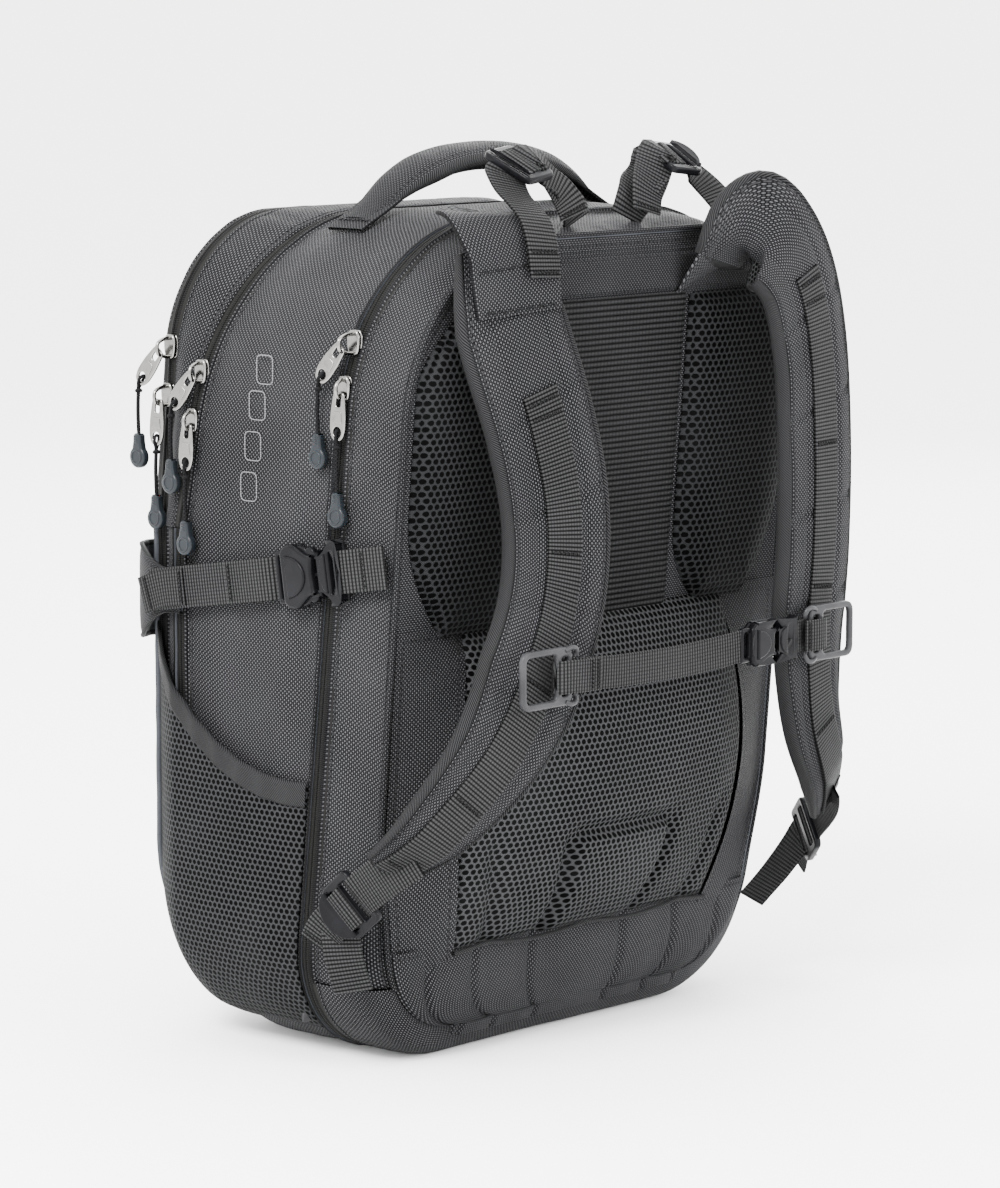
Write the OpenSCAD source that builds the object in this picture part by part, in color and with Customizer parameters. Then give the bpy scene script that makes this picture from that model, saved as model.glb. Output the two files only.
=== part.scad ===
// School backpack: laptop compartment, main compartment, front organiser and front pocket,
// padded harness, side mesh pockets, compression strap and carry handle.
// Origin at the middle of the base. The wearer's side faces -Y, the front faces +Y, +Z is up.

/* [Body] */
// Half of the widest part of the bag
half_w = 175; // [165:1:185]
// Height of the bag without its handle
bag_h = 495; // [485:1:505]
// Depth of the main compartment from its rear zip to its front zip at the base
main_d = 104; // [98:1:110]
// Depth of the organiser between its two zips
organiser_d = 29; // [26:1:32]
// Depth of the front pocket at its middle
pocket_d = 22; // [20:1:26]
// Depth of the laptop compartment
laptop_d = 51; // [48:1:54]
// Thickness of the lined fabric wall
wall = 2.5; // [2:0.1:3]
// Radius of the arched top corners at the laptop zip
arch_r = 110; // [100:1:115]
// Radius of the lower corners of the base
foot_r = 75; // [65:1:80]

/* [Zips] */
// Width of each half of a zip tape
tape_w = 5.6; // [4:0.1:7]
// Clearance between the two halves of a closed zip
zip_gap = 0.8; // [0.5:0.1:1]
// Length of a metal pull tab
tab_l = 26; // [22:1:28]
// Length of the cord below a tab
cord_l = 32; // [30:1:38]
// Diameter of the cord below a tab
cord_d = 2.4; // [2:0.1:2.6]

/* [Straps] */
// Width of the wide webbing
web_w = 25; // [22:1:27]
// Thickness of the webbing
web_t = 1.6; // [1.2:0.1:1.8]
// Widest part of a shoulder strap
strap_w = 76; // [66:1:78]
// Thickness of a shoulder strap
strap_t = 14; // [10:1:14]
// Length of the carry handle between its two feet
handle_l = 192; // [180:1:210]
// Height of the top of the carry handle above the bag
handle_rise = 37; // [34:1:40]
// Thickness of the padded carry handle
handle_t = 18; // [14:1:19]

/* [Hidden] */

// Colours
nylon = "#3a3a3d";
mesh_black = "#26282a";
tape_grey = "#6a6763";
webbing = "#303033";
plastic = "#1f2022";
nickel = "#c9c9c6";
grip_grey = "#77818a";
foam = "#8c8c88";
cord_black = "#202022";

// Planes of the seams, from the wearer's side to the front.
// 0 is the back seam, 1 the laptop zip, 2 the main zip, 3 the pocket zip, 4 the front face.
fold_z = 310;
lap_z = 50;
zip3_y = -29;
main_y = zip3_y + main_d;
organiser_y = main_y + organiser_d;
front_y = organiser_y + pocket_d;
back_y = zip3_y - laptop_d;
function plane_y(k, z) =
    k == 0 ? back_y - 0.085 * (z - 60) :
    k == 1 ? zip3_y - 0.105 * (z - 60) :
    k == 2 ? main_y - 0.2 * max(0, z - fold_z) :
    k == 3 ? organiser_y - 0.1 * max(0, z - fold_z) :
    front_y - 0.09 * max(0, z - fold_z);
front_flat_y = 40;

// Solids through sections

function flip(faces) = [for (f = faces) [f[2], f[1], f[0]]];
function signed_volume(p, faces) =
    [for (f = faces) p[f[0]] * cross(p[f[1]], p[f[2]])] * [for (f = faces) 1];
function middle(s) = [for (p = s) 1] * s / len(s);

// A closed solid through sections of equal point count: capped, or joined end to end.
module skin(sections, joined = false) {
    n = len(sections[0]);
    m = len(sections);
    last = joined ? m - 1 : m - 2;
    ring_points = [for (s = sections) each s];
    points = joined ? ring_points
        : concat(ring_points, [middle(sections[0]), middle(sections[m - 1])]);
    sides = [for (i = [0:last], j = [0:n - 1])
        let (a = i * n + j, b = i * n + (j + 1) % n,
             c = ((i + 1) % m) * n + (j + 1) % n, d = ((i + 1) % m) * n + j)
        each [[a, b, c], [a, c, d]]];
    caps = joined ? [] : [for (j = [0:n - 1]) let (k = (j + 1) % n, e = (m - 1) * n)
        each [[k, j, n * m], [e + j, e + k, n * m + 1]]];
    faces = concat(sides, caps);
    polyhedron(points = points,
        faces = signed_volume(points, faces) > 0 ? flip(faces) : faces, convexity = 8);
}

function arc(cx, cz, r, a0, a1, n) =
    [for (k = [0:n]) let (a = a0 + (a1 - a0) * k / n) [cx + r * cos(a), cz + r * sin(a)]];
function backwards(a) = [for (i = [len(a) - 1:-1:0]) a[i]];
function both_sides(h) = concat(h, [for (p = backwards(h)) [-p[0], p[1]]]);

// Right half of an outline: a whole ring, the part above a fold, and the part below one.
function half_full(w, zb, zt, rb, rt) = concat(
    arc(w - rt, zt - rt, rt, 90, 0, 12), [[w, fold_z]], arc(w - rb, zb + rb, rb, 0, -90, 9));
function half_up(w, zt, rt, z0, inset = 0) = concat(
    arc(w - rt, zt - rt, rt, 90, 0, 12), [[w, z0 + 30], [w - inset, z0], [w / 2, z0]]);
function half_low(w, zb, rb, z1) =
    let (a0 = zb + rb > z1 ? -asin((zb + rb - z1) / rb) : 0)
    concat([[w / 2, z1], [w - rb + rb * cos(a0), z1]], arc(w - rb, zb + rb, rb, a0 - 1, -90, 9));

// Rings in space: on a plane, moved along Y, or between two planes.
function on_plane(h, k, dy = 0) = [for (p = both_sides(h)) [p[0], plane_y(k, p[1]) + dy, p[1]]];
function between(h, k0, d0, k1, d1, t) = [for (p = both_sides(h))
    [p[0], (plane_y(k0, p[1]) + d0) * (1 - t) + (plane_y(k1, p[1]) + d1) * t, p[1]]];

// Height of the base above the floor, which rises towards the front.
function base_z(y) = y < front_flat_y ? 0
    : 88 * (1 - sqrt(max(0, 1 - pow((y - front_flat_y) / (front_y + 1 - front_flat_y), 2))));

// Rounding of the front pocket from its zip to its face, from 0 to 1.
pocket_half_w = half_w - 13;
face_w = 120;
function round_in(t) = (pocket_half_w - face_w) * pow(t, 1.5);
function round_out(t) = t == 0 ? 0 : 1 + (pocket_d - 1) * pow(t, 0.7);
function round_down(t) = 22 * pow(t, 2);
// Direction of the wall's thickness there: towards the middle, and back from the face.
function round_wall(t) = t == 0 ? [1, 0]
    : unit([0.7 * (pocket_d - 1) * pow(t, -0.3), 1.5 * (pocket_half_w - face_w) * pow(t, 0.5)]);
face_gap = 0.25;

// Sweeps

function unit(v) = v / norm(v);
// A smooth curve through the route's points, n steps between each two.
function smooth(r, n) = concat([for (i = [0:len(r) - 2], k = [0:n - 1])
    let (t = k / n, a = r[max(0, i - 1)], b = r[i], c = r[i + 1], d = r[min(len(r) - 1, i + 2)])
    0.5 * (2 * b + (c - a) * t + (2 * a - 5 * b + 4 * c - d) * t * t
        + (3 * b - a - 3 * c + d) * t * t * t)], [r[len(r) - 1]]);
function tangent(p, i) = unit(p[min(len(p) - 1, i + 1)] - p[max(0, i - 1)]);
function power(v, e) = sign(v) * pow(abs(v), e);
// A soft oblong of width w and thickness t, with n points.
function oblong(w, t, n, e) = [for (k = [0:n - 1]) let (a = 360 * (k + 0.5) / n)
    [w / 2 * power(cos(a), e), t / 2 * power(sin(a), e)]];
function flat(w, t) = [[w / 2, t / 2], [-w / 2, t / 2], [-w / 2, -t / 2], [w / 2, -t / 2]];
// Places a section across the path at step i, its width square to the outward direction.
function across(p, i, shape, out) =
    let (d = tangent(p, i), u = unit(cross(d, out)), v = cross(u, d))
    [for (s = shape) p[i] + u * s[0] + v * s[1]];
module ribbon(path, w, t, out) {
    skin([for (i = [0:len(path) - 1]) across(path, i, flat(w, t), out)]);
}
module tube(path, d, sides, out) {
    shape = [for (k = [0:sides - 1]) d / 2 * [cos(360 * k / sides), sin(360 * k / sides)]];
    skin([for (i = [0:len(path) - 1]) across(path, i, shape, out)]);
}

// Fabric shells

zip3_half = function (t) half_full(half_w - t, t, bag_h - t, foot_r - t, arch_r - t);
zip2_half = function (t) half_full(half_w - 1 - t, base_z(main_y) + t, bag_h - 1 - t,
    foot_r + 10 - t, arch_r + 10 - t);
main_half = function (y, t) half_full(half_w - t, base_z(y) + t, bag_h - t,
    foot_r - t, arch_r + 5 - t);

module main_shell() {
    d1 = zip_gap / 2 + tape_w;
    rings = function (t) [
        on_plane(zip3_half(t), 1, d1),
        between(main_half(0, t), 1, d1, 2, -d1, 0.33),
        between(main_half(front_flat_y, t), 1, d1, 2, -d1, 0.66),
        on_plane(zip2_half(t), 2, -d1)];
    color(nylon) skin(concat(rings(0), backwards(rings(wall))), joined = true);
}

// A cup of rings: the outer ones, then the same ones one wall further in.
module cup(outer, inner) {
    color(nylon) skin(concat(outer, backwards(inner)));
}

// The lower front: a gusset that runs round its edge, and the face sewn into it.
module lower_front_shell() {
    z1 = fold_z - 1;
    start = -zip_gap / 2 - tape_w;
    low = function (w, y, t, rb) half_low(w - t, base_z(y) + t, rb - t, z1 - t);
    face = function (s, t) low(pocket_half_w - round_in(s), organiser_y + round_out(s) * 0.8, t,
        foot_r + 12);
    rings = function (t) concat(
        [on_plane(half_low(half_w - 1 - t, base_z(main_y) + t, foot_r + 10 - t, z1 - t), 2, start)],
        [on_plane(low(half_w - 5, main_y + 14, t, foot_r + 10), 2, 14)],
        rounding(face, 0, t));
    gusset_and_face(rings, face);
}
function rounding(face, from, t) = [for (s = [from:0.25:1]) let (n = round_wall(s))
    on_plane(face(s, t * n[0]), 3, round_out(s) - t * n[1])];
module gusset_and_face(rings, face) {
    edge = wall * round_wall(1)[0] + face_gap;
    color(nylon) {
        skin(concat(rings(0), backwards(rings(wall))), joined = true);
        skin([on_plane(face(1, edge), 3, pocket_d - wall), on_plane(face(1, edge), 3, pocket_d)]);
    }
}

module base_shell() {
    z1 = lap_z - 1;
    low = function (w, zb, t, rb) half_low(w - t, zb + t, rb - t, z1 - t);
    rings = function (t) [
        on_plane(low(half_w - 17, 20, t, foot_r - 18), 0, 1 + t),
        on_plane(low(half_w - 7, 6, t, foot_r - 8), 0, 6 + t / 2),
        on_plane(low(half_w - 2, 0, t, foot_r), 0, 18),
        on_plane(low(half_w, 0, t, foot_r), 1, zip_gap / 2)];
    cup(rings(0), rings(wall));
}

module laptop_shell() {
    d1 = zip_gap / 2 + tape_w;
    up = function (w, zt, rt, t) half_up(w - t, zt - t, rt - t, lap_z + t, 6);
    rings = function (t) [
        on_plane(up(half_w - 5, bag_h - 11, arch_r - 10, t), 0, t),
        on_plane(up(half_w - 3, bag_h - 5, arch_r - 5, t), 0, 14),
        on_plane(up(half_w, bag_h, arch_r, t), 1, -d1)];
    cup(rings(0), rings(wall));
}

module organiser_shell() {
    d1 = zip_gap / 2 + tape_w;
    up = function (w, zt, rt, t) half_up(w - t, zt - t, rt - t, fold_z + 2 + t);
    rings = function (t) [
        on_plane(up(half_w - 1, bag_h - 1, arch_r + 10, t), 2, d1),
        between(up(half_w - 3, bag_h, arch_r - 5, t), 2, d1, 3, -d1, 0.5),
        on_plane(up(pocket_half_w, bag_h - 1, arch_r - 30, t), 3, -d1)];
    color(nylon) skin(concat(rings(0), backwards(rings(wall))), joined = true);
}

module pocket_shell() {
    d1 = zip_gap / 2 + tape_w;
    up = function (w, zt, rt, t) half_up(w - t, zt - t, rt - t, fold_z + 2 + t);
    face = function (s, t) up(pocket_half_w - round_in(s), bag_h - 1 - round_down(s),
        (arch_r - 30) * (1 - 0.22 * s), t);
    rings = function (t) concat(
        [on_plane(up(pocket_half_w, bag_h - 1, arch_r - 30, t), 3, d1)],
        rounding(face, 0.25, t));
    gusset_and_face(rings, face);
}

// Half of a zip: a band as thick as the wall, on side s of its plane, whole or above a fold.
module tape(k, s, half) {
    a = s * zip_gap / 2;
    b = s * (zip_gap / 2 + tape_w);
    color(tape_grey) skin([on_plane(half(0), k, a), on_plane(half(0), k, b),
        on_plane(half(wall), k, b), on_plane(half(wall), k, a)], joined = true);
}
module arch_tape(k, s, w, zt, rt, z0) {
    a = s * zip_gap / 2;
    b = s * (zip_gap / 2 + tape_w);
    side = function (t) let (h = concat(arc(w - rt, zt - rt, rt - t, 90, 0, 12), [[w - t, z0]]))
        concat(backwards(h), [for (p = h) [-p[0], p[1]]]);
    outer = side(0);
    inner = side(wall);
    at = function (p, d) [p[0], plane_y(k, p[1]) + d, p[1]];
    color(tape_grey) skin([for (i = [0:len(outer) - 1])
        [at(outer[i], a), at(outer[i], b), at(inner[i], b), at(inner[i], a)]]);
}
module laptop_zip_front_tape() tape(1, 1, zip3_half);
module laptop_zip_rear_tape() arch_tape(1, -1, half_w, bag_h, arch_r, lap_z + 32);
module main_zip_rear_tape() arch_tape(2, -1, half_w - 1, bag_h - 1, arch_r + 10, fold_z + 1);
module main_zip_front_tape() arch_tape(2, 1, half_w - 1, bag_h - 1, arch_r + 10, fold_z + 2);
module pocket_zip_rear_tape() arch_tape(3, -1, pocket_half_w, bag_h - 1, arch_r - 30, fold_z + 2);
module pocket_zip_front_tape() arch_tape(3, 1, pocket_half_w, bag_h - 1, arch_r - 30, fold_z + 2);

// Inner panels

// A flat panel that follows plane k between the offsets d0 and d1.
module panel(h, k, d0, d1) {
    skin([on_plane(h, k, d0), on_plane(h, k, d1)]);
}
module laptop_sleeve() {
    color(foam) panel(half_up(half_w - 14, bag_h - 55, 60, 20, 19), 1, 10, 16);
}
module back_frame_sheet() {
    color(foam) panel(half_up(half_w - 14, bag_h - 22, 84, lap_z + 10), 0, wall + 0.3, wall + 2.8);
}
module organiser_panel() {
    color(nylon) panel(half_up(half_w - 1 - wall - 0.5, bag_h - 4 - 0.5, arch_r + 7, fold_z + 6),
        2, 1, 3);
}

// Side pockets of stretch mesh

pocket_y0 = -18;
pocket_y1 = 108;
function pocket_top(y) = 168 + 0.0046 * pow(y + 24, 2);
function side_w(y) = y < main_y ? half_w : half_w - 13 * pow((y - main_y) / organiser_d, 1.4);
function side_x(y, z) = let (rb = foot_r, d = max(0, max(0, base_z(y) - 3) + rb - z))
    side_w(y) - rb * (1 - sqrt(max(0, 1 - pow(d / rb, 2))));
function mesh_gap(y, s) = 1 + 6 * sin(180 * (y - pocket_y0) / (pocket_y1 - pocket_y0))
    * sin(90 * min(1, 3 * s));
module mesh_pocket() {
    steps = 10;
    low = 14;
    z_at = function (y, s) low + base_z(y) + (pocket_top(y) - low - base_z(y)) * s;
    edge = function (y, s, t) [-(side_x(y, z_at(y, s)) + mesh_gap(y, s) + t), y, z_at(y, s)];
    skin([for (y = [pocket_y0:9:pocket_y1]) concat(
        [for (k = [0:steps]) edge(y, k / steps, 0)],
        [for (k = [steps:-1:0]) edge(y, k / steps, 1.8)])]);
}
module mesh_pockets() {
    color(mesh_black) {
        mesh_pocket();
        mirror([1, 0, 0]) mesh_pocket();
    }
}

// Padding on the wearer's side

// A pad on the back. Each row: left x, right x, z, thickness at the left and at the right edge,
// and the crown between them.
module pad(rows) {
    n = 10;
    skin([for (r = rows) concat(
        [for (k = [0:n]) let (t = k / n, c = pow(max(0, sin(180 * t)), 0.55))
            [r[0] + (r[1] - r[0]) * t,
             plane_y(0, r[2]) - 1 - r[3] * (1 - t) - r[4] * t - r[5] * c, r[2]]],
        [[r[1], plane_y(0, r[2]) - 0.3, r[2]], [r[0], plane_y(0, r[2]) - 0.3, r[2]]])]);
}
module top_band() {
    color(nylon) pad([for (z = [446, 450, 459, 468, 473]) let (e = abs(z - 459.5) / 13.5)
        [-128, 128, z, 0.2, 0.2, 2.8 * sqrt(max(0, 1 - e * e))]]);
}
module spine_panel() {
    color(webbing) pad([for (z = [262, 268, 320, 380, 438, 443]) [-62, 62, z, 0.5, 0.5, 2.8]]);
}
// Outer and inner edges of the left wing pad at height z
function wing_outer(z) = z > 330 ? -164 : -164 + 0.0058 * pow(330 - z, 2);
function wing_inner(z) = z > 300 ? -74 : -74 - 0.012 * pow(300 - z, 2);
module wing_pad() {
    pad([for (z = [258, 262, 270, 285, 310, 340, 375, 405, 425, 438, 442])
        let (e = min(1, (z - 256) / 36, (444 - z) / 30))
        [wing_outer(z), wing_inner(z), z, 0.2, 0.2, 10 * sqrt(e)]]);
}
module wing_pads() {
    color(mesh_black) {
        wing_pad();
        mirror([1, 0, 0]) wing_pad();
    }
}
// Half-width and edge thickness of the lumbar pad at height z
function lumbar_w(z) = 112 + 16 * sin(180 * (z - 60) / 210);
function lumbar_e(z) = sin(180 * min(1, max(0, (z - 70) / 187)));
module lumbar_pad() {
    color(mesh_black) pad([for (z = [72, 76, 88, 105, 130, 160, 190, 215, 235, 248, 255])
        let (e = lumbar_e(z), w = lumbar_w(z))
        [-w, w, z, 24 * pow(e, 0.7), 24 * pow(e, 0.7), 22 * pow(e, 0.7)]]);
}
module lower_wing() {
    pad([for (z = [58, 62, 80, 105, 130, 160, 190, 215, 235, 246])
        let (e = sin(180 * min(1, (z - 56) / 192)), w = lumbar_w(z))
        [-166, -w - 1.5, z, 0.3, 20 * pow(e, 0.7), 3 * pow(e, 0.5)]]);
}
module lower_wings() {
    color(nylon) {
        lower_wing();
        mirror([1, 0, 0]) lower_wing();
    }
}

// Carry handle

handle_y = -4;
module carry_handle() {
    rise = handle_rise - handle_t / 2;
    half_l = handle_l / 2;
    foot_z = bag_h + 5;
    route = smooth([[-half_l - 8, handle_y, foot_z], [-half_l + 6, handle_y, foot_z + 3],
        [-half_l + 30, handle_y, foot_z + 15], [-half_l + 62, handle_y, bag_h + rise - 1],
        [0, handle_y, bag_h + rise + 1], [half_l - 62, handle_y, bag_h + rise - 1],
        [half_l - 30, handle_y, foot_z + 15], [half_l - 6, handle_y, foot_z + 3],
        [half_l + 8, handle_y, foot_z]], 4);
    n = len(route) - 1;
    full = function (i) let (e = min(i, n - i) / 10) min(1, max(0, e));
    color(nylon) skin([for (i = [0:n]) across(route, i,
        oblong(11 + 27 * full(i), 4 + (handle_t - 4) * full(i), 12, 0.7), [0, 0, 1])]);
}

// Harness

// Left and right routes of the padded straps, from the top seam to the lower end
strap_route_left = [[-112, -126, 478], [-112, -134, 440], [-96, -142, 382], [-87, -146, 332],
    [-94, -151, 285], [-118, -157, 241], [-150, -156, 195], [-179, -136, 154], [-189, -112, 132]];
strap_route_right = [[84, -126, 464], [90, -133, 478], [106, -143, 480], [124, -150, 455],
    [133, -154, 412], [136, -156, 350], [134, -157, 290], [131, -156, 240], [138, -153, 190],
    [158, -146, 152], [178, -132, 126]];
steps = 4;
// Width at fraction f of the length: the top is narrower, and the lower end tapers to the webbing
function strap_width(f) = strap_w * (f < 0.1 ? 0.82 + 1.8 * f : f < 0.66 ? 1 : 1 - 1.55 * (f - 0.66));
function strap_out(route) = [sign(route[0][0]) * 0.15, -1, 0];
module strap(route) {
    path = smooth(route, steps);
    n = len(path) - 1;
    color(nylon) skin([for (i = [0:n]) let (e = min(1, 0.55 + min(i, n - i) / 5))
        across(path, i, oblong(strap_width(i / n), strap_t * e, 14, 0.6), strap_out(route))]);
}
module shoulder_strap_left() strap(strap_route_left);
module shoulder_strap_right() strap(strap_route_right);

// Webbing sewn down the middle of each strap, on its outer face, from below the shoulder
web_start = 8;
module strap_web(route) {
    path = smooth(route, steps);
    lift = strap_t / 2 + web_t / 2 + 0.4;
    raised = [for (i = [web_start:len(path) - 2])
        let (d = tangent(path, i), u = unit(cross(d, strap_out(route)))) path[i] + cross(u, d) * lift];
    color(webbing) ribbon(raised, web_w, web_t, strap_out(route));
}
module strap_webbing_left() strap_web(strap_route_left);
module strap_webbing_right() strap_web(strap_route_right);

// Ladder lock in its own frame: bars along X, webbing runs along Y, thumb tab towards +Y
lock_w = 36;
lock_l = 30;
lock_t = 4;
module ladder_lock() {
    color(plastic) {
        linear_extrude(lock_t) difference() {
            union() {
                translate([-lock_w / 2, -lock_l / 2]) square([lock_w, lock_l - 6]);
                translate([0, lock_l / 2 - 12]) scale([1, 0.6]) circle(d = lock_w, $fn = 48);
            }
            translate([-13.5, -lock_l / 2 + 4]) square([27, 6]);
            translate([-13.5, -lock_l / 2 + 13]) square([27, 6]);
        }
    }
}
// Puts a flat piece at a point: its Y axis along d, its Z axis as near n as it can be
module placed(at, d, n) {
    y = unit(d);
    x = unit(cross(y, n));
    z = cross(x, y);
    multmatrix([[x[0], y[0], z[0], at[0]], [x[1], y[1], z[1], at[1]], [x[2], y[2], z[2], at[2]]])
        children();
}
// Ladder locks at the lower ends of the straps, and the corners that their webs are sewn into
lock_left_at = [-187, -80, 106];
lock_right_at = [200, -100, 98];
anchor_left = [-179, -74, 54];
anchor_right = [179, -74, 54];
function strap_end(route) = route[len(route) - 1];
module lower_lock(route, at) {
    placed(at, strap_end(route) - at, [at[0], -60, -10]) translate([0, 0, -lock_t / 2]) ladder_lock();
}
module lower_ladder_lock_left() lower_lock(strap_route_left, lock_left_at);
module lower_ladder_lock_right() lower_lock(strap_route_right, lock_right_at);

// Short webs sewn into the lower corners of the back
module anchor_web(route, at, anchor) {
    end = at - unit(strap_end(route) - at) * (lock_l / 2 + 12);
    color(webbing) ribbon([anchor, (anchor + end) / 2, end], web_w, web_t, [at[0], -60, -10]);
}
module strap_anchor_webs() {
    anchor_web(strap_route_left, lock_left_at, anchor_left);
    anchor_web(strap_route_right, lock_right_at, anchor_right);
}

// Load lifter: one web from the top of the back, one towards the strap, the lock between them
module load_lifter(s) {
    color(webbing) {
        ribbon(smooth([[s * 24, -104, 498], [s * 34, -100, 508], [s * 46, -98, 518],
            [s * 52, -98, 523]], 3), web_w, web_t, [0, -1, 0.2]);
        ribbon(smooth([[s * 82, -100, 522], [s * 88, -106, 514], [s * 90, -116, 502]], 3),
            web_w, web_t, [0, -1, 0.4]);
    }
    placed([s * 67, -99, 525.5], [s * 1, -0.1, -0.12], [0, -0.5, 1]) translate([0, 0, -lock_t / 2])
        ladder_lock();
}
module load_lifter_left() load_lifter(-1);
module load_lifter_right() load_lifter(1);

// Sternum strap

sternum_z = 240;
sternum_y = -174;
buckle_x = 57;
module sternum_slider(x) {
    color(grip_grey) translate([x, sternum_y + 1.2, sternum_z]) rotate([90, 0, 0])
        translate([0, 0, -3]) linear_extrude(3) difference() {
            offset(r = 4, $fn = 24) square([34, 28], center = true);
            translate([-11, -8.5]) square([22, 17]);
        }
}
module sternum_slider_left() sternum_slider(-126);
module sternum_slider_right() sternum_slider(129);
sternum_web_w = 19;
module sternum_web(x0, x1) {
    color(webbing) translate([x0, sternum_y - 2.2, sternum_z - sternum_web_w / 2])
        cube([x1 - x0, web_t, sternum_web_w]);
}
module sternum_webbing_left() sternum_web(-142, buckle_x - 14);
module sternum_webbing_right() sternum_web(buckle_x + 31, 145);

// Side-release buckle, flat in XY: the plug goes in along -X, its mouth is at x = 0
module buckle_female(w, l, t) {
    grip = w - 8;
    color(plastic) difference() {
        translate([-l, 0, -t / 2]) linear_extrude(t) difference() {
            union() {
                translate([7, -w / 2]) square([l - 7, w]);
                translate([0, -grip / 2]) square([8, grip]);
            }
            translate([2.5, -grip / 2 + 2.5]) square([3, grip - 5]);
            for (s = [-1, 1]) translate([l - 11, s * w / 2]) scale([1.3, 0.5]) circle(r = 6, $fn = 32);
        }
        translate([-l + 9, -w / 2 + 2.5, -t / 2 + 2]) cube([l, w - 5, t - 4]);
    }
}
module buckle_male(w, l, t) {
    grip = w - 8;
    arm = t - 4 - 3;
    color(plastic) {
        translate([0.5, 0, -t / 2]) linear_extrude(t) difference() {
            union() {
                translate([0, -w / 2]) square([5, w]);
                translate([4, -grip / 2]) square([8, grip]);
            }
            translate([6.5, -grip / 2 + 2.5]) square([3, grip - 5]);
        }
        for (s = [-1, 1]) translate([-l + 14, s * (w / 2 - 7.5) - 1.6, -arm / 2])
            cube([l - 13, 3.2, arm]);
        translate([-l + 17, -1.6, -arm / 2]) cube([l - 16, 3.2, arm]);
    }
}
module sternum_female_buckle() {
    translate([buckle_x + 17, sternum_y - 1.4, sternum_z]) rotate([90, 0, 0]) buckle_female(27, 30, 9);
}
module sternum_male_buckle() {
    translate([buckle_x + 17, sternum_y - 1.4, sternum_z]) rotate([90, 0, 0]) buckle_male(27, 30, 9);
}

// Compression strap: slopes down towards the front at this angle
comp_slope = 9;
comp_z = 294;
comp_y = -50;
comp_x = half_w + 7;
function comp_mid(y) = comp_z - (y - comp_y) * tan(comp_slope);
module compression_rear_tab() {
    color(webbing) ribbon([for (y = [-64, -80, -100]) [-comp_x + (y + 64) * -0.06, y, comp_mid(y)]],
        web_w, web_t, [-1, 0, 0]);
}
module compression_rear_tabs() {
    compression_rear_tab();
    mirror([1, 0, 0]) compression_rear_tab();
}
// Puts a buckle on the left side: its plug leaves towards -Y
module on_left_side() {
    translate([-comp_x, comp_y, comp_z]) rotate([-comp_slope, 0, 0]) rotate([0, 90, 0])
        rotate([0, 0, -90]) children();
}
module compression_male_buckles() {
    for (s = [0, 1]) mirror([s, 0, 0]) on_left_side() buckle_male(38, 34, 11);
}
module compression_female_buckles() {
    for (s = [0, 1]) mirror([s, 0, 0]) on_left_side() buckle_female(38, 34, 11);
}
module compression_side_web() {
    color(webbing) ribbon([for (y = [-10, 20, 50, 80, 100]) [-comp_x - 0.4, y, comp_mid(y)]],
        web_w, web_t, [-1, 0, 0]);
}
module compression_webbing() {
    compression_side_web();
    mirror([1, 0, 0]) compression_side_web();
}
// Padded wing across the front, standing off the lower front, wider than the webbing
module compression_wing() {
    side = half_w + 3.6;
    front = front_y + 12;
    corner = 56;
    plan = concat([[-side, 72], [-side, front - corner - 6]],
        [for (a = [165:-15:105]) [-side + corner + corner * cos(a), front - corner + corner * sin(a)]],
        [[-60, front], [0, front + 1], [60, front]],
        [for (a = [75:-15:15]) [side - corner + corner * cos(a), front - corner + corner * sin(a)]],
        [[side, front - corner - 6], [side, 72]]);
    mid_z = function (y) min(comp_mid(y), 272);
    path = [for (p = plan) [p[0], p[1], mid_z(p[1])]];
    tall = function (y) 26 + 32 * min(1, max(0, (y - 84) / 40));
    color(nylon) skin([for (i = [0:len(path) - 1]) let (d = tangent([for (p = plan) [p[0], p[1], 0]], i),
        u = cross(d, [0, 0, 1]))
        [for (s = oblong(tall(path[i][1]), 3.4, 8, 0.5)) path[i] + u * s[1] + [0, 0, s[0]]]]);
}

// Zip pulls

// Height of the bail's eye above the fabric, and the gap between the eye and the tab
pull_x = 4.2;
eye = 3.9;
module slider(k, w, z) {
    y = plane_y(k, z);
    color(nickel) translate([-w - 0.5, y, z]) rotate([0, -90, 0]) {
        linear_extrude(1.8) union() {
            translate([-5, -4]) square([10, 8]);
            translate([5, 0]) circle(d = 8, $fn = 32);
        }
        // bail that carries the tab
        translate([-3.5, 0, 1.8]) rotate([90, 0, 0]) translate([0, 0, -1]) linear_extrude(2)
            difference() {
                union() {
                    translate([1, 0]) square([7, 3.2]);
                    translate([4.5, 2.4]) circle(d = 7, $fn = 32);
                }
                translate([4.5, 2]) circle(d = 4, $fn = 32);
            }
    }
}
// A tab with its grip, hanging from the bail and leaning towards the front by the tilt
module pull(k, w, z, tilt) {
    translate([-w - pull_x, plane_y(k, z), z + 1]) rotate([tilt, 0, 0]) {
        color(nickel) rotate([0, -90, 0]) translate([-eye, 0, 0]) linear_extrude(1.5) difference() {
            union() {
                translate([-tab_l + 6, -6]) square([tab_l - 12, 12]);
                translate([-6, 0]) circle(d = 12, $fn = 32);
                translate([-tab_l + 6, 0]) circle(d = 12, $fn = 32);
            }
            translate([-3.2, 0]) square([4, 4], center = true);
            translate([-tab_l + 6.5, 0]) circle(d = 6, $fn = 32);
        }
    }
    end = pull_end(k, z, tilt);
    color(grip_grey) translate([-w - pull_x, end[0], end[1] - cord_l - 0.2]) rotate([0, -90, 0])
        translate([0, 0, -1.7]) linear_extrude(5) union() {
            translate([-11, 0]) circle(d = 13, $fn = 48);
            translate([-9, -3]) square([9, 6]);
        }
}
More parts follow.
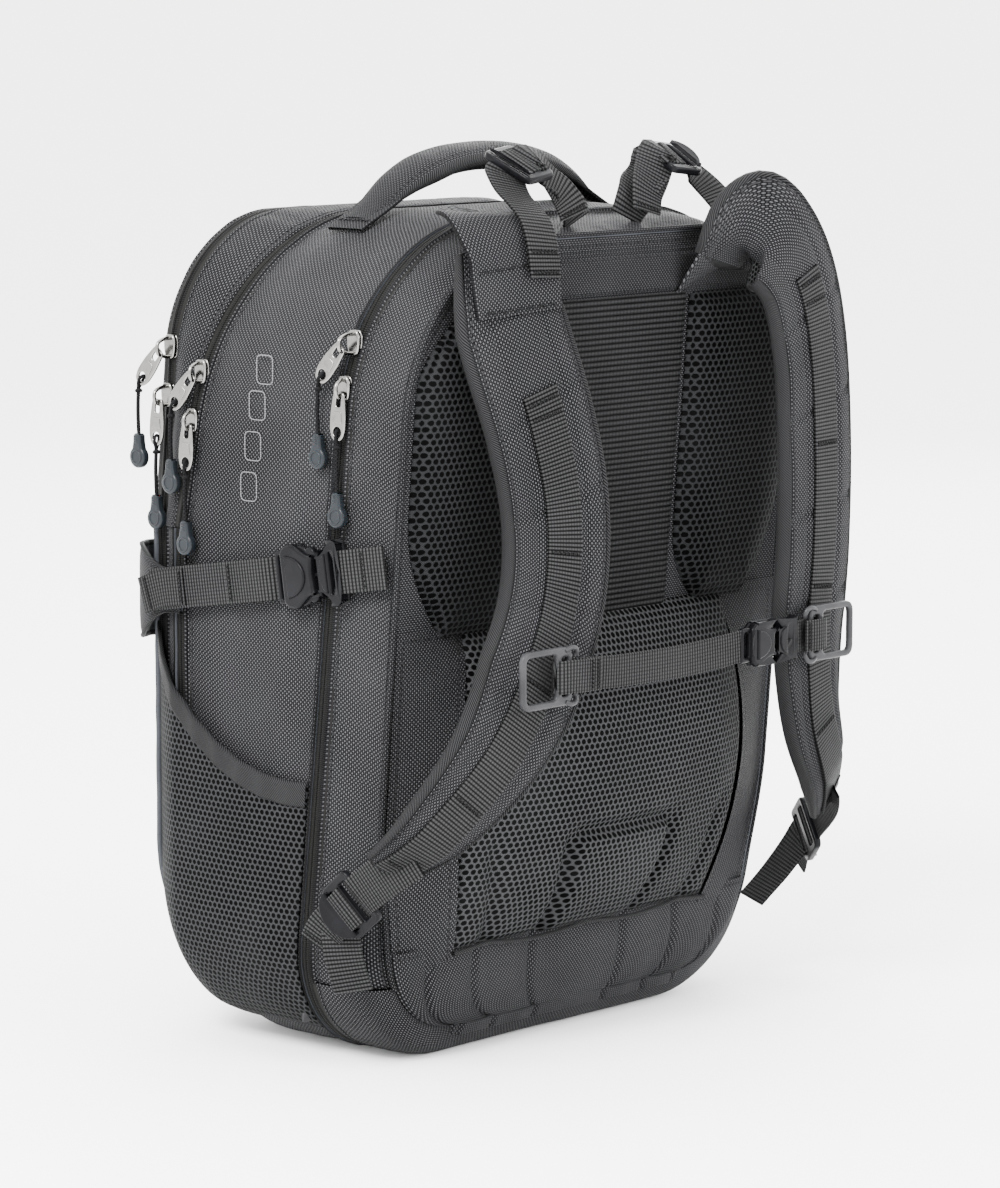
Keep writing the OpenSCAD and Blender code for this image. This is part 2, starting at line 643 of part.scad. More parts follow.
// Where the cord leaves the lower end of a tab
function pull_end(k, z, tilt) = let (r = tab_l + eye)
    [plane_y(k, z) + r * sin(tilt), z + 1 - r * cos(tilt) - 1.5 * sin(tilt)];
module pull_cord(k, w, z, tilt) {
    end = pull_end(k, z, tilt);
    x = -w - pull_x - 0.75;
    color(cord_black) tube([for (t = [0:0.25:1]) [x, end[0], end[1] - 0.2 - (cord_l - 0.2) * t]],
        cord_d, 8, [-1, 0, 0]);
}
// Heights of the upper and lower slider on each zip, and the lean of their tabs
laptop_zs = [426, 400];
main_zs = [402, 373];
pocket_zs = [414, 385];
tilts = [42, 4];
// Half-width of an arched outline at height z
function arch_x(w, zt, rt, z) = w - rt + sqrt(rt * rt - pow(max(0, z - zt + rt), 2));
function laptop_w(z) = arch_x(half_w, bag_h, arch_r, z);
function main_w(z) = arch_x(half_w - 1, bag_h - 1, arch_r + 10, z);
function pocket_w(z) = arch_x(pocket_half_w, bag_h - 1, arch_r - 30, z);
// Half-width that the pulls hang clear of
laptop_clear = half_w;
main_clear = half_w - 0.5;
pocket_clear = pocket_half_w + 4.2;

module laptop_slider_upper() slider(1, laptop_w(laptop_zs[0] - 6), laptop_zs[0]);
module laptop_slider_lower() slider(1, laptop_w(laptop_zs[1] - 6), laptop_zs[1]);
module main_slider_upper() slider(2, main_w(main_zs[0] - 6), main_zs[0]);
module main_slider_lower() slider(2, main_w(main_zs[1] - 6), main_zs[1]);
module pocket_slider_upper() slider(3, pocket_w(pocket_zs[0] - 6), pocket_zs[0]);
module pocket_slider_lower() slider(3, pocket_w(pocket_zs[1] - 6), pocket_zs[1]);
module laptop_pull_upper() pull(1, laptop_clear, laptop_zs[0], tilts[0]);
module laptop_pull_lower() pull(1, laptop_clear, laptop_zs[1], tilts[1]);
module main_pull_upper() pull(2, main_clear, main_zs[0], tilts[0]);
module main_pull_lower() pull(2, main_clear, main_zs[1], tilts[1]);
module pocket_pull_upper() pull(3, pocket_clear, pocket_zs[0], tilts[0]);
module pocket_pull_lower() pull(3, pocket_clear, pocket_zs[1], tilts[1]);
module laptop_cord_upper() pull_cord(1, laptop_clear, laptop_zs[0], tilts[0]);
module laptop_cord_lower() pull_cord(1, laptop_clear, laptop_zs[1], tilts[1]);
module main_cord_upper() pull_cord(2, main_clear, main_zs[0], tilts[0]);
module main_cord_lower() pull_cord(2, main_clear, main_zs[1], tilts[1]);
module pocket_cord_upper() pull_cord(3, pocket_clear, pocket_zs[0], tilts[0]);
module pocket_cord_lower() pull_cord(3, pocket_clear, pocket_zs[1], tilts[1]);

// What is drawn
main_shell();
lower_front_shell();
base_shell();
laptop_sleeve();
mesh_pockets();
laptop_zip_front_tape();
main_zip_rear_tape();
carry_handle();
laptop_shell();
back_frame_sheet();
laptop_zip_rear_tape();
top_band();
spine_panel();
wing_pads();
lumbar_pad();
lower_wings();
strap_anchor_webs();
compression_rear_tabs();
compression_male_buckles();
organiser_shell();
organiser_panel();
main_zip_front_tape();
pocket_zip_rear_tape();
pocket_shell();
pocket_zip_front_tape();
compression_wing();
compression_webbing();
compression_female_buckles();
shoulder_strap_left();
shoulder_strap_right();
strap_webbing_left();
strap_webbing_right();
lower_ladder_lock_left();
lower_ladder_lock_right();
load_lifter_left();
load_lifter_right();
sternum_slider_left();
sternum_slider_right();
sternum_webbing_left();
sternum_webbing_right();
sternum_female_buckle();
sternum_male_buckle();
laptop_slider_upper();
laptop_slider_lower();
main_slider_upper();
main_slider_lower();
pocket_slider_upper();
pocket_slider_lower();
laptop_pull_upper();
laptop_pull_lower();
main_pull_upper();
main_pull_lower();
pocket_pull_upper();
pocket_pull_lower();
laptop_cord_upper();
laptop_cord_lower();
main_cord_upper();
main_cord_lower();
pocket_cord_upper();
pocket_cord_lower();
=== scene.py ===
"""The looks of a school backpack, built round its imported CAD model. Metres, +Z up."""
import math

import bpy
import numpy as np
from mathutils import Matrix, Vector, noise


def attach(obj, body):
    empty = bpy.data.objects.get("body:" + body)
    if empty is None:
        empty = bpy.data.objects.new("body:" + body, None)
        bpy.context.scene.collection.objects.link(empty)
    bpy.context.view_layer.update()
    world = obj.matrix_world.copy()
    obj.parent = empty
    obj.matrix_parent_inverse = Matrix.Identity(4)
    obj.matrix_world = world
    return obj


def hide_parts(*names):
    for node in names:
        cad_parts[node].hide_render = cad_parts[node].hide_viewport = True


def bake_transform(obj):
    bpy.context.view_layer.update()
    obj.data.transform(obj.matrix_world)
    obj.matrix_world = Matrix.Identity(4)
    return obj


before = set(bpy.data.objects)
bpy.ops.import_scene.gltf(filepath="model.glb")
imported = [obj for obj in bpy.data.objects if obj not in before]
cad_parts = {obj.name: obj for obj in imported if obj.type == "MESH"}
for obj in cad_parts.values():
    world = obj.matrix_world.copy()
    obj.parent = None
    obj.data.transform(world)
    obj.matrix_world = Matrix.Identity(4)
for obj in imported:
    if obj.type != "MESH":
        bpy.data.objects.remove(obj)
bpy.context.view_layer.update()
MM = 0.001


# ---------------------------------------------------------------- camera and stage

def make_camera():
    data = bpy.data.cameras.new("camera")
    data.lens = 137.9
    data.sensor_width = 36
    data.clip_end = 400
    cam = bpy.data.objects.new("camera", data)
    bpy.context.scene.collection.objects.link(cam)
    a, e = math.radians(47), math.radians(8)
    forward = Vector((math.sin(a) * math.cos(e), math.cos(a) * math.cos(e), -math.sin(e)))
    cam.location = (-2.0035, -1.8900, 0.6461)
    cam.rotation_mode = "QUATERNION"
    cam.rotation_quaternion = forward.to_track_quat("-Z", "Y")
    bpy.context.scene.camera = cam


def area_light(name, at, aim, size, power):
    data = bpy.data.lights.new(name, "AREA")
    data.shape = "RECTANGLE"
    data.size, data.size_y = size
    data.energy = power
    o = bpy.data.objects.new(name, data)
    bpy.context.scene.collection.objects.link(o)
    o.location = at
    o.rotation_mode = "QUATERNION"
    o.rotation_quaternion = (Vector(aim) - Vector(at)).to_track_quat("-Z", "Y")


def make_stage():
    world = bpy.data.worlds.new("studio")
    bpy.context.scene.world = world
    world.use_nodes = True
    back = world.node_tree.nodes["Background"]
    back.inputs["Color"].default_value = (1, 1, 1, 1)
    back.inputs["Strength"].default_value = 5.2
    area_light("key", (-2.3, -0.6, 2.3), (0, 0, 0.25), (1.2, 1.2), 330)
    area_light("fill", (0.9, -2.9, 1.2), (0, -0.05, 0.25), (1.4, 1.0), 120)
    area_light("top", (0.3, 0.4, 2.6), (0, 0, 0.3), (1.6, 1.6), 45)
    area_light("rim", (2.3, 1.6, 1.6), (0, 0, 0.35), (1.0, 1.4), 45)
    mesh = bpy.data.meshes.new("floor")
    s = 150
    mesh.from_pydata([(-s, -s, 0), (s, -s, 0), (s, s, 0), (-s, s, 0)], [], [(0, 1, 2, 3)])
    floor = bpy.data.objects.new("floor", mesh)
    bpy.context.scene.collection.objects.link(floor)
    floor.location.z = -0.0004
    m = bpy.data.materials.new("floor")
    m.use_nodes = True
    b = m.node_tree.nodes["Principled BSDF"]
    b.inputs["Base Color"].default_value = (0.9, 0.9, 0.9, 1)
    b.inputs["Roughness"].default_value = 0.9
    b.inputs["Specular IOR Level"].default_value = 0.1
    mesh.materials.append(m)


# ---------------------------------------------------------------- materials

DYE = 0.225          # how dark every dyed colour is under the studio's bright light


class Nodes:
    """Short names for building a node tree."""

    def __init__(self, name, rough=0.8, spec=0.2, metal=0.0, sheen=0.0, sheen_rough=0.5, coat=0.0):
        self.material = bpy.data.materials.new(name)
        self.material.use_nodes = True
        self.tree = self.material.node_tree
        self.shader = self.tree.nodes["Principled BSDF"]
        self.set("Roughness", rough)
        self.set("Specular IOR Level", spec)
        self.set("Metallic", metal)
        self.set("Sheen Weight", sheen)
        self.set("Sheen Roughness", sheen_rough)
        self.set("Coat Weight", coat)

    def set(self, name, value):
        self.shader.inputs[name].default_value = value

    def add(self, kind, **values):
        n = self.tree.nodes.new(kind)
        for k, v in values.items():
            setattr(n, k, v)
        return n

    def link(self, a, b):
        self.tree.links.new(a, b)

    def put(self, socket, value):
        if isinstance(value, bpy.types.NodeSocket):
            self.link(value, socket)
        else:
            socket.default_value = value

    def m(self, op, a, b=0.0, c=0.0, clamp=False):
        n = self.add("ShaderNodeMath", operation=op, use_clamp=clamp)
        self.put(n.inputs[0], a)
        self.put(n.inputs[1], b)
        if len(n.inputs) > 2:
            self.put(n.inputs[2], c)
        return n.outputs[0]

    def mul(self, a, b):
        return self.m("MULTIPLY", a, b)

    def mad(self, a, b, c, clamp=False):
        return self.m("MULTIPLY_ADD", a, b, c, clamp)

    def plus(self, a, b):
        return self.m("ADD", a, b)

    def minus(self, a, b):
        return self.m("SUBTRACT", a, b)

    def power(self, a, b):
        return self.m("POWER", a, b)

    def larger(self, a, b):
        return self.m("MAXIMUM", a, b)

    def sin(self, a):
        return self.m("SINE", a)

    def abs(self, a):
        return self.m("ABSOLUTE", a)

    def mix(self, f, a, b):
        n = self.add("ShaderNodeMix", data_type="FLOAT")
        self.put(n.inputs[0], f)
        self.put(n.inputs[2], a)
        self.put(n.inputs[3], b)
        return n.outputs[0]

    def mix_colour(self, f, a, b):
        n = self.add("ShaderNodeMix", data_type="RGBA")
        self.put(n.inputs[0], f)
        self.put(n.inputs[6], a)
        self.put(n.inputs[7], b)
        return n.outputs[2]

    def uv(self, layer="UVMap"):
        n = self.add("ShaderNodeUVMap", uv_map=layer)
        s = self.add("ShaderNodeSeparateXYZ")
        self.link(n.outputs[0], s.inputs[0])
        return n.outputs[0], s.outputs[0], s.outputs[1]

    def noise(self, scale, detail=3.0, vector=None, rough=0.6):
        n = self.add("ShaderNodeTexNoise")
        n.inputs["Scale"].default_value = scale
        n.inputs["Detail"].default_value = detail
        n.inputs["Roughness"].default_value = rough
        if vector is None:
            vector = self.add("ShaderNodeTexCoord").outputs["Object"]
        self.link(vector, n.inputs["Vector"])
        return n.outputs[0]

    def ramp(self, x, lo, hi):
        n = self.add("ShaderNodeMapRange", interpolation_type="SMOOTHSTEP")
        self.put(n.inputs["Value"], x)
        n.inputs["From Min"].default_value = lo
        n.inputs["From Max"].default_value = hi
        return n.outputs[0]

    def bump(self, height, distance, strength=1.0):
        n = self.add("ShaderNodeBump")
        n.inputs["Strength"].default_value = strength
        n.inputs["Distance"].default_value = distance
        self.link(height, n.inputs["Height"])
        return n.outputs[0]

    def tone_and_painted_shade(self, dark, light, shade, large=9.0):
        """A colour between dark and light by a pattern, varied slowly over the surface. For weaves, ribs,
        teeth and knurls the pattern is their height: painted shade in the hollows and painted light on the
        tops. For the lining it is its ripstop grid.
        """
        slow = self.noise(large, 4.0)
        f = self.mad(self.minus(slow, 0.5), 0.35, shade, clamp=True)
        dark, light = (tuple(c * DYE for c in x) for x in (dark, light))
        return self.mix_colour(f, (*dark, 1), (*light, 1))

    def dust(self):
        """A few pale specks of lint, from 0 to 1."""
        return self.ramp(self.noise(900.0, 1.0), 0.73, 0.80)


def weave(n, p):
    """Height of a basket weave of cell p, from 0 to 1, and which thread is up."""
    _, u, v = n.uv()
    a = n.mul(u, math.pi / p)
    b = n.mul(v, math.pi / p)
    sa, sb = n.sin(a), n.sin(b)
    over = n.m("GREATER_THAN", n.mul(sa, sb), 0.0)
    ha = n.power(n.abs(sa), 0.7)
    hb = n.power(n.abs(sb), 0.7)
    along = n.mul(ha, n.mad(hb, 0.35, 0.65))
    across = n.mul(hb, n.mad(ha, 0.35, 0.65))
    fine_u = n.mad(n.sin(n.mul(a, 6.0)), 0.06, along)
    fine_v = n.mad(n.sin(n.mul(b, 6.0)), 0.06, across)
    return n.mix(over, fine_u, fine_v), over


def stitches(n, at, pitch=3.4):
    """Height and mask of a line of stitches at distance `at` from a sewn edge, by the Seam layer."""
    _, along, d = n.uv("Seam")
    near = n.minus(1.0, n.ramp(n.abs(n.minus(d, at)), 0.0003, 0.0009))
    dash = n.ramp(n.sin(n.mul(along, 2 * math.pi / (pitch * MM))), -0.55, -0.1)
    return n.mul(near, dash), near


def nylon(name, p=1.3, dark=(0.0012, 0.0012, 0.0015), light=(0.268, 0.268, 0.284), seam=0.0048):
    n = Nodes(name, rough=0.52, spec=0.018, sheen=0.001, sheen_rough=0.45)
    h, over = weave(n, p * MM)
    # Painted shade and highlight: the weave's hollows are painted dark and its tops light, and the threads
    # running one way are painted brighter than the others.
    tip = n.power(n.larger(h, 0.0), 2.6)
    shade = n.mul(tip, n.mad(over, 0.76, 0.22))
    colour = n.tone_and_painted_shade(dark, light, shade)
    stitch, near = stitches(n, seam)
    colour = n.mix_colour(n.mul(near, 0.55), colour, (0.0014, 0.0014, 0.0016, 1))
    colour = n.mix_colour(n.mul(stitch, 0.8), colour, (0.018, 0.018, 0.019, 1))
    colour = n.mix_colour(n.mul(n.dust(), 0.25), colour, (0.04, 0.04, 0.04, 1))
    n.link(colour, n.shader.inputs["Base Color"])
    height = n.mad(stitch, 1.6, n.minus(h, n.mul(near, 1.2)))
    n.link(n.bump(height, 0.0007, 1.0), n.shader.inputs["Normal"])
    return n.material


def air_mesh(name, p=4.1, dark=(0.0008, 0.0008, 0.0008), light=(0.165, 0.168, 0.174), hole=-0.30):
    """Knitted air mesh: a hexagonal net of threads over dark holes."""
    n = Nodes(name, rough=0.6, spec=0.014, sheen=0.001)
    _, u, v = n.uv()
    k = 4 * math.pi / (math.sqrt(3) * p * MM)
    total = None
    for a in (90, 210, 330):
        c, s = math.cos(math.radians(a)), math.sin(math.radians(a))
        w = n.m("COSINE", n.plus(n.mul(u, k * c), n.mul(v, k * s)))
        total = w if total is None else n.plus(total, w)
    net = n.minus(1.0, n.ramp(total, hole - 0.75, hole + 0.75))
    fine = n.mul(n.sin(n.mul(u, 2 * math.pi / 0.0009)),
               n.sin(n.mul(v, 2 * math.pi / 0.0009)))
    thread = n.mul(net, n.mad(fine, 0.18, 0.82))
    # Painted shade and the dark layer beneath: the holes are painted near black, and the threads' tops are
    # painted lighter than their sides.
    colour = n.tone_and_painted_shade(dark, light, n.mul(thread, 0.85), 14.0)
    n.link(colour, n.shader.inputs["Base Color"])
    n.link(n.bump(thread, 0.0011, 1.0), n.shader.inputs["Normal"])
    return n.material


def ribbed(name, pitch, column=0.0, depth=0.0005, dark=(0.0016, 0.0016, 0.0018),
           light=(0.126, 0.126, 0.129), slant=0.0, sheen=0.001):
    """Webbing and tapes: ribs across the length (the UV's first axis), broken into columns or slanted."""
    n = Nodes(name, rough=0.5, spec=0.016, sheen=sheen)
    _, u, v = n.uv()
    where = n.mad(v, slant, u)
    rib = n.abs(n.sin(n.mul(where, math.pi / (pitch * MM))))
    if column:
        c = n.abs(n.sin(n.mul(v, math.pi / (column * MM))))
        rib = n.mul(n.power(rib, 0.8), n.mad(n.power(c, 0.6), 0.42, 0.58))
    fine = n.mul(n.sin(n.mul(v, 2 * math.pi / 0.00075)), 0.10)
    h = n.plus(rib, fine)
    # Painted shade: the ribs' tops are painted lighter and the grooves between them darker.
    colour = n.tone_and_painted_shade(dark, light, n.mul(n.power(n.larger(h, 0.0), 2.0), 0.85))
    colour = n.mix_colour(n.mul(n.dust(), 0.2), colour, (0.04, 0.04, 0.04, 1))
    n.link(colour, n.shader.inputs["Base Color"])
    n.link(n.bump(h, depth, 0.9), n.shader.inputs["Normal"])
    return n.material


def zip_tape(name):
    """Coated zip tape: smooth, with the coil's stitches along its inner edge."""
    n = Nodes(name, rough=0.45, spec=0.03, sheen=0.001)
    _, u, v = n.uv()
    tooth = n.abs(n.sin(n.mul(u, math.pi / 0.0013)))
    bead = n.minus(1.0, n.ramp(v, 0.0020, 0.0028))
    fine = n.abs(n.sin(n.mul(u, math.pi / 0.0006)))
    h = n.plus(n.mul(n.mul(tooth, bead), 0.9), n.mul(fine, 0.14))
    # Painted shade: the coil's bead is painted darker than the tape, and darker still between its teeth.
    shade = n.mad(n.minus(1.0, bead), 0.45, n.mul(h, 0.35))
    colour = n.tone_and_painted_shade((0.003, 0.0029, 0.0028), (0.062, 0.061, 0.059), shade)
    n.link(colour, n.shader.inputs["Base Color"])
    n.link(n.bump(h, 0.0003, 0.8), n.shader.inputs["Normal"])
    return n.material


def moulded(name, colour, rough=0.42, spec=0.35, grain=0.00005):
    """Moulded plastic with a fine texture and rubbed, slightly paler high spots."""
    n = Nodes(name, rough=rough, spec=spec)
    fine, slow = n.noise(2600.0, 2.0), n.noise(45.0, 4.0)
    lighter = tuple(c * 1.9 for c in colour)
    n.link(n.mix_colour(n.ramp(slow, 0.35, 0.75), (*colour, 1), (*lighter, 1)), n.shader.inputs["Base Color"])
    n.link(n.mix(slow, rough - 0.08, rough + 0.14), n.shader.inputs["Roughness"])
    n.link(n.bump(fine, grain, 0.6), n.shader.inputs["Normal"])
    return n.material


def polished(name, colour, rough=0.16):
    """Plated metal with hairline scratches and faint tarnish."""
    n = Nodes(name, rough=rough, metal=1.0, spec=0.5)
    slow, fine = n.noise(220.0, 3.0), n.noise(1500.0, 3.0)
    dim = tuple(c * 0.72 for c in colour)
    n.link(n.mix_colour(n.ramp(slow, 0.45, 0.8), (*colour, 1), (*dim, 1)), n.shader.inputs["Base Color"])
    n.link(n.mix(fine, rough, rough + 0.16), n.shader.inputs["Roughness"])
    n.link(n.bump(slow, 0.00012, 0.4), n.shader.inputs["Normal"])
    return n.material


def rubber(name):
    """Soft blue-grey rubber with a knurled lower half."""
    n = Nodes(name, rough=0.34, spec=0.10, coat=0.02)
    n.set("Subsurface Weight", 0.12)
    n.set("Subsurface Scale", 0.004)
    _, u, v = n.uv()
    k = n.mul(n.sin(n.mul(u, 2 * math.pi / 0.0013)),
            n.sin(n.mul(v, 2 * math.pi / 0.0013)))
    low = n.minus(1.0, n.ramp(v, -0.0125, -0.011))
    # Painted shade: the knurl's bumps are painted lighter and the hollows between them darker.
    n.link(n.tone_and_painted_shade((0.014, 0.018, 0.023), (0.044, 0.054, 0.064), n.mad(n.mul(k, low), 0.3, 0.45), 90.0),
           n.shader.inputs["Base Color"])
    n.link(n.bump(n.mul(k, low), 0.0003, 0.8), n.shader.inputs["Normal"])
    return n.material


def braid(name):
    n = Nodes(name, rough=0.6, spec=0.02, sheen=0.002)
    c = n.add("ShaderNodeTexCoord").outputs["UV"]
    s = n.add("ShaderNodeSeparateXYZ")
    n.link(c, s.inputs[0])
    a = n.sin(n.plus(n.mul(s.outputs[0], 2 * math.pi * 14), n.mul(s.outputs[1], 2 * math.pi * 3)))
    b = n.sin(n.minus(n.mul(s.outputs[0], 2 * math.pi * 14), n.mul(s.outputs[1], 2 * math.pi * 3)))
    h = n.larger(a, b)
    # Painted shade: the braid's strands are painted lighter on top and darker between them.
    n.link(n.tone_and_painted_shade((0.004, 0.004, 0.0045), (0.03, 0.03, 0.032), n.mad(h, 0.4, 0.4), 60.0),
           n.shader.inputs["Base Color"])
    n.link(n.bump(h, 0.0003, 0.8), n.shader.inputs["Normal"])
    return n.material


def lining(name, colour):
    """Smooth coated lining with a fine ripstop grid."""
    n = Nodes(name, rough=0.55, spec=0.12)
    _, u, v = n.uv()
    gu = n.ramp(n.abs(n.sin(n.mul(u, math.pi / 0.006))), 0.0, 0.16)
    gv = n.ramp(n.abs(n.sin(n.mul(v, math.pi / 0.006))), 0.0, 0.16)
    h = n.mul(gu, gv)
    n.link(n.tone_and_painted_shade(tuple(c * 0.6 for c in colour), colour, h), n.shader.inputs["Base Color"])
    n.link(n.bump(n.minus(1.0, h), 0.0003, 0.6), n.shader.inputs["Normal"])
    return n.material


MAT = {}


def make_materials():
    MAT["nylon"] = nylon("nylon")
    MAT["nylon_fine"] = nylon("nylon_fine", 1.25, (0.0011, 0.0011, 0.0014), (0.200, 0.200, 0.212))
    MAT["mesh"] = air_mesh("pad_mesh")
    # The wing pads' mesh is the pad mesh painted darker: painted shade, for the shadow of the straps over the
    # deep wing pads.
    MAT["wing_mesh_painted_shade"] = air_mesh("wing_mesh_painted_shade", 4.3, light=(0.068, 0.070, 0.073), hole=-0.22)
    MAT["pocket_mesh"] = air_mesh("pocket_mesh", 3.9, hole=-0.25, light=(0.118, 0.121, 0.126))
    MAT["strap_mesh"] = air_mesh("strap_mesh", 3.6)
    MAT["webbing"] = ribbed("webbing", 2.3, 2.1, 0.0006)
    MAT["spine"] = ribbed("spine_fabric", 3.3, 3.0, 0.0011, light=(0.078, 0.078, 0.081))
    MAT["binding"] = ribbed("binding", 1.6, 0.0, 0.0004, light=(0.100, 0.100, 0.104), slant=0.9)
    MAT["tape"] = zip_tape("zip_tape")
    MAT["lining"] = lining("lining", (0.12, 0.13, 0.15))
    MAT["foam_lining"] = lining("foam_lining", (0.06, 0.06, 0.065))
    MAT["sheet"] = moulded("frame_sheet", (0.20, 0.20, 0.20), 0.5)
    MAT["plastic"] = moulded("black_plastic", (0.0020, 0.0020, 0.0024), 0.25, 0.055)
    MAT["grey_plastic"] = moulded("grey_plastic", (0.013, 0.013, 0.014), 0.32, 0.09)
    MAT["nickel"] = polished("nickel", (0.155, 0.152, 0.146), 0.10)
    MAT["rubber"] = rubber("grip_rubber")
    MAT["cord"] = braid("pull_cord")
    MAT["mark"] = ribbed("printed_mark", 1.4, 0.0, 0.0002, (0.22, 0.22, 0.23), (0.62, 0.62, 0.64))
    MAT["thread"] = ribbed("thread", 2.2, 0.0, 0.0004, (0.015, 0.015, 0.016), (0.055, 0.055, 0.057))


# ---------------------------------------------------------------- shapes (millimetres)

HALF_W, BAG_H, FOLD_Z, LAP_Z = 175.0, 495.0, 310.0, 50.0
MAIN_Y, ORG_Y, FRONT_Y, BACK_Y = 75.0, 104.0, 126.0, -80.0
POCKET_W, FACE_W, ARCH_R, FOOT_R, POCKET_D = 162.0, 120.0, 110.0, 75.0, 22.0
CLOTH_T = 1.6        # thickness of lined cloth
WEB_W, TAIL_W, CHEST_W = 25, 24, 19      # widths of the webbing, its tails and the sternum strap
SIDES = ((-1, "left"), (1, "right"))


def plane_y(k, z):
    """Where zip or seam k lies at height z: 0 back seam, 1 laptop zip, 2 main zip, 3 pocket zip, 4 front."""
    if k == 0:
        return BACK_Y - 0.085 * (z - 60)
    if k == 1:
        return -29 - 0.105 * (z - 60)
    up = np.maximum(0.0, np.asarray(z, float) - FOLD_Z)
    return (75 - 0.2 * up, 104 - 0.1 * up, 126 - 0.09 * up)[k - 2]


def base_z(y):
    t = np.clip((np.asarray(y, float) - 40) / 87, 0, 1)
    return 88 * (1 - np.sqrt(1 - t * t))


def arc(cx, cz, r, a0, a1, n=24):
    a = np.radians(np.linspace(a0, a1, n + 1))
    return np.c_[cx + r * np.cos(a), cz + r * np.sin(a)]


def resample(p, n=None, step=None, closed=False):
    """Points evenly spaced along a polyline."""
    p = np.asarray(p, float)
    if closed:
        p = np.vstack([p, p[:1]])
    d = run(p)
    if n is None:
        n = max(2, int(round(d[-1] / step)))
    t = np.linspace(0, d[-1], n + 1)
    if closed:
        t = t[:-1]
    return np.c_[tuple(np.interp(t, d, p[:, i]) for i in range(p.shape[1]))]


def loop_full(w, zb, zt, rb, rt, n):
    """A closed rounded outline in (x, z), from the middle of the bottom and round by +x."""
    half = np.vstack([[[0, zb]], arc(w - rb, zb + rb, rb, -90, 0), arc(w - rt, zt - rt, rt, 0, 90),
                      [[0, zt]]])
    other = half[::-1][1:-1] * [-1, 1]
    return resample(np.vstack([half, other]), n=n, closed=True)


def loop_up(w, zt, rt, z0, n):
    """An open arch in (x, z), from the left foot at z0 over the top to the right foot."""
    half = np.vstack([[[w, z0]], arc(w - rt, zt - rt, rt, 0, 90), [[0, zt]]])
    return resample(np.vstack([(half * [-1, 1]), half[::-1][1:]]), n=n)


def loop_low(w, zb, rb, z1, n):
    """An open trough in (x, z), from the left top at z1 under the bottom to the right top."""
    if z1 < zb + rb:
        half = np.vstack([arc(w - rb, zb + rb, rb, -math.degrees(math.asin((zb + rb - z1) / rb)), -90),
                          [[0, zb]]])
    else:
        half = np.vstack([[[w, z1]], arc(w - rb, zb + rb, rb, 0, -90), [[0, zb]]])
    return resample(np.vstack([(half * [-1, 1]), half[::-1][1:]]), n=n)


def loop_back(w, zt, rt, z0, n, wf, zb, rb):
    """An open arch whose feet draw in to the outline of the base (half-width wf, bottom zb, corner rb)."""
    z = np.linspace(z0, 150, 40)
    foot = wf - rb + np.sqrt(np.maximum(0, rb * rb - np.maximum(0, zb + rb - z) ** 2))
    f = np.clip((150 - z) / 100, 0, 1)
    f = ease(f)
    side = np.c_[w * (1 - f) + foot * f, z]
    half = np.vstack([side, arc(w - rt, zt - rt, rt, 0, 90), [[0, zt]]])
    return resample(np.vstack([(half * [-1, 1]), half[::-1][1:]]), n=n)


def smooth(route, n):
    """A smooth curve through the route's points, n steps between each two."""
    r = np.asarray(route, float)
    out = []
    for i in range(len(r) - 1):
        a, b, c, d = r[max(0, i - 1)], r[i], r[i + 1], r[min(len(r) - 1, i + 2)]
        for k in range(n):
            t = k / n
            out.append(0.5 * (2 * b + (c - a) * t + (2 * a - 5 * b + 4 * c - d) * t * t
                              + (3 * b - a - 3 * c + d) * t ** 3))
    out.append(r[-1])
    return np.array(out)


def soft(p, scale, seed):
    """Smooth noise at each point (millimetres), about -1 to 1."""
    q = np.asarray(p, float).reshape(-1, 3) / scale + seed * 17.3
    v = np.array([noise.noise(Vector(x)) for x in q])
    return v.reshape(np.asarray(p).shape[:-1])


def normals(P, closed):
    """Unit normals of a grid of points (nu, nv, 3)."""
    du = (np.roll(P, -1, 0) - np.roll(P, 1, 0)) if closed else np.gradient(P, axis=0)
    dv = np.gradient(P, axis=1)
    n = np.cross(du, dv)
    return n / np.maximum(np.linalg.norm(n, axis=2, keepdims=True), 1e-9)


def run(path):
    """Distance along a polyline at each of its points."""
    return np.r_[0, np.cumsum(np.linalg.norm(np.diff(path, axis=0), axis=1))]


def spread(rows, columns):
    """Two coordinates over a grid, one by row and one by column."""
    return np.stack(np.broadcast_arrays(rows[:, None], columns[None, :]), -1)


def ease(t):
    """A smooth step from 0 to 1."""
    return t * t * (3 - 2 * t)


def arclen(P, axis):
    """Distance along a grid's rows (axis 0) or columns (axis 1)."""
    d = np.linalg.norm(np.diff(P, axis=axis), axis=2)
    z = np.zeros_like(P[:1, :, 0] if axis == 0 else P[:, :1, 0])
    return np.concatenate([z, np.cumsum(d, axis=axis)], axis=axis)


def new_object(name, mesh, body, materials):
    o = bpy.data.objects.new(name, mesh)
    bpy.context.scene.collection.objects.link(o)
    for m in materials:
        mesh.materials.append(MAT[m])
    for poly in mesh.polygons:
        poly.use_smooth = True
    if body:
        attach(o, body)
    return o


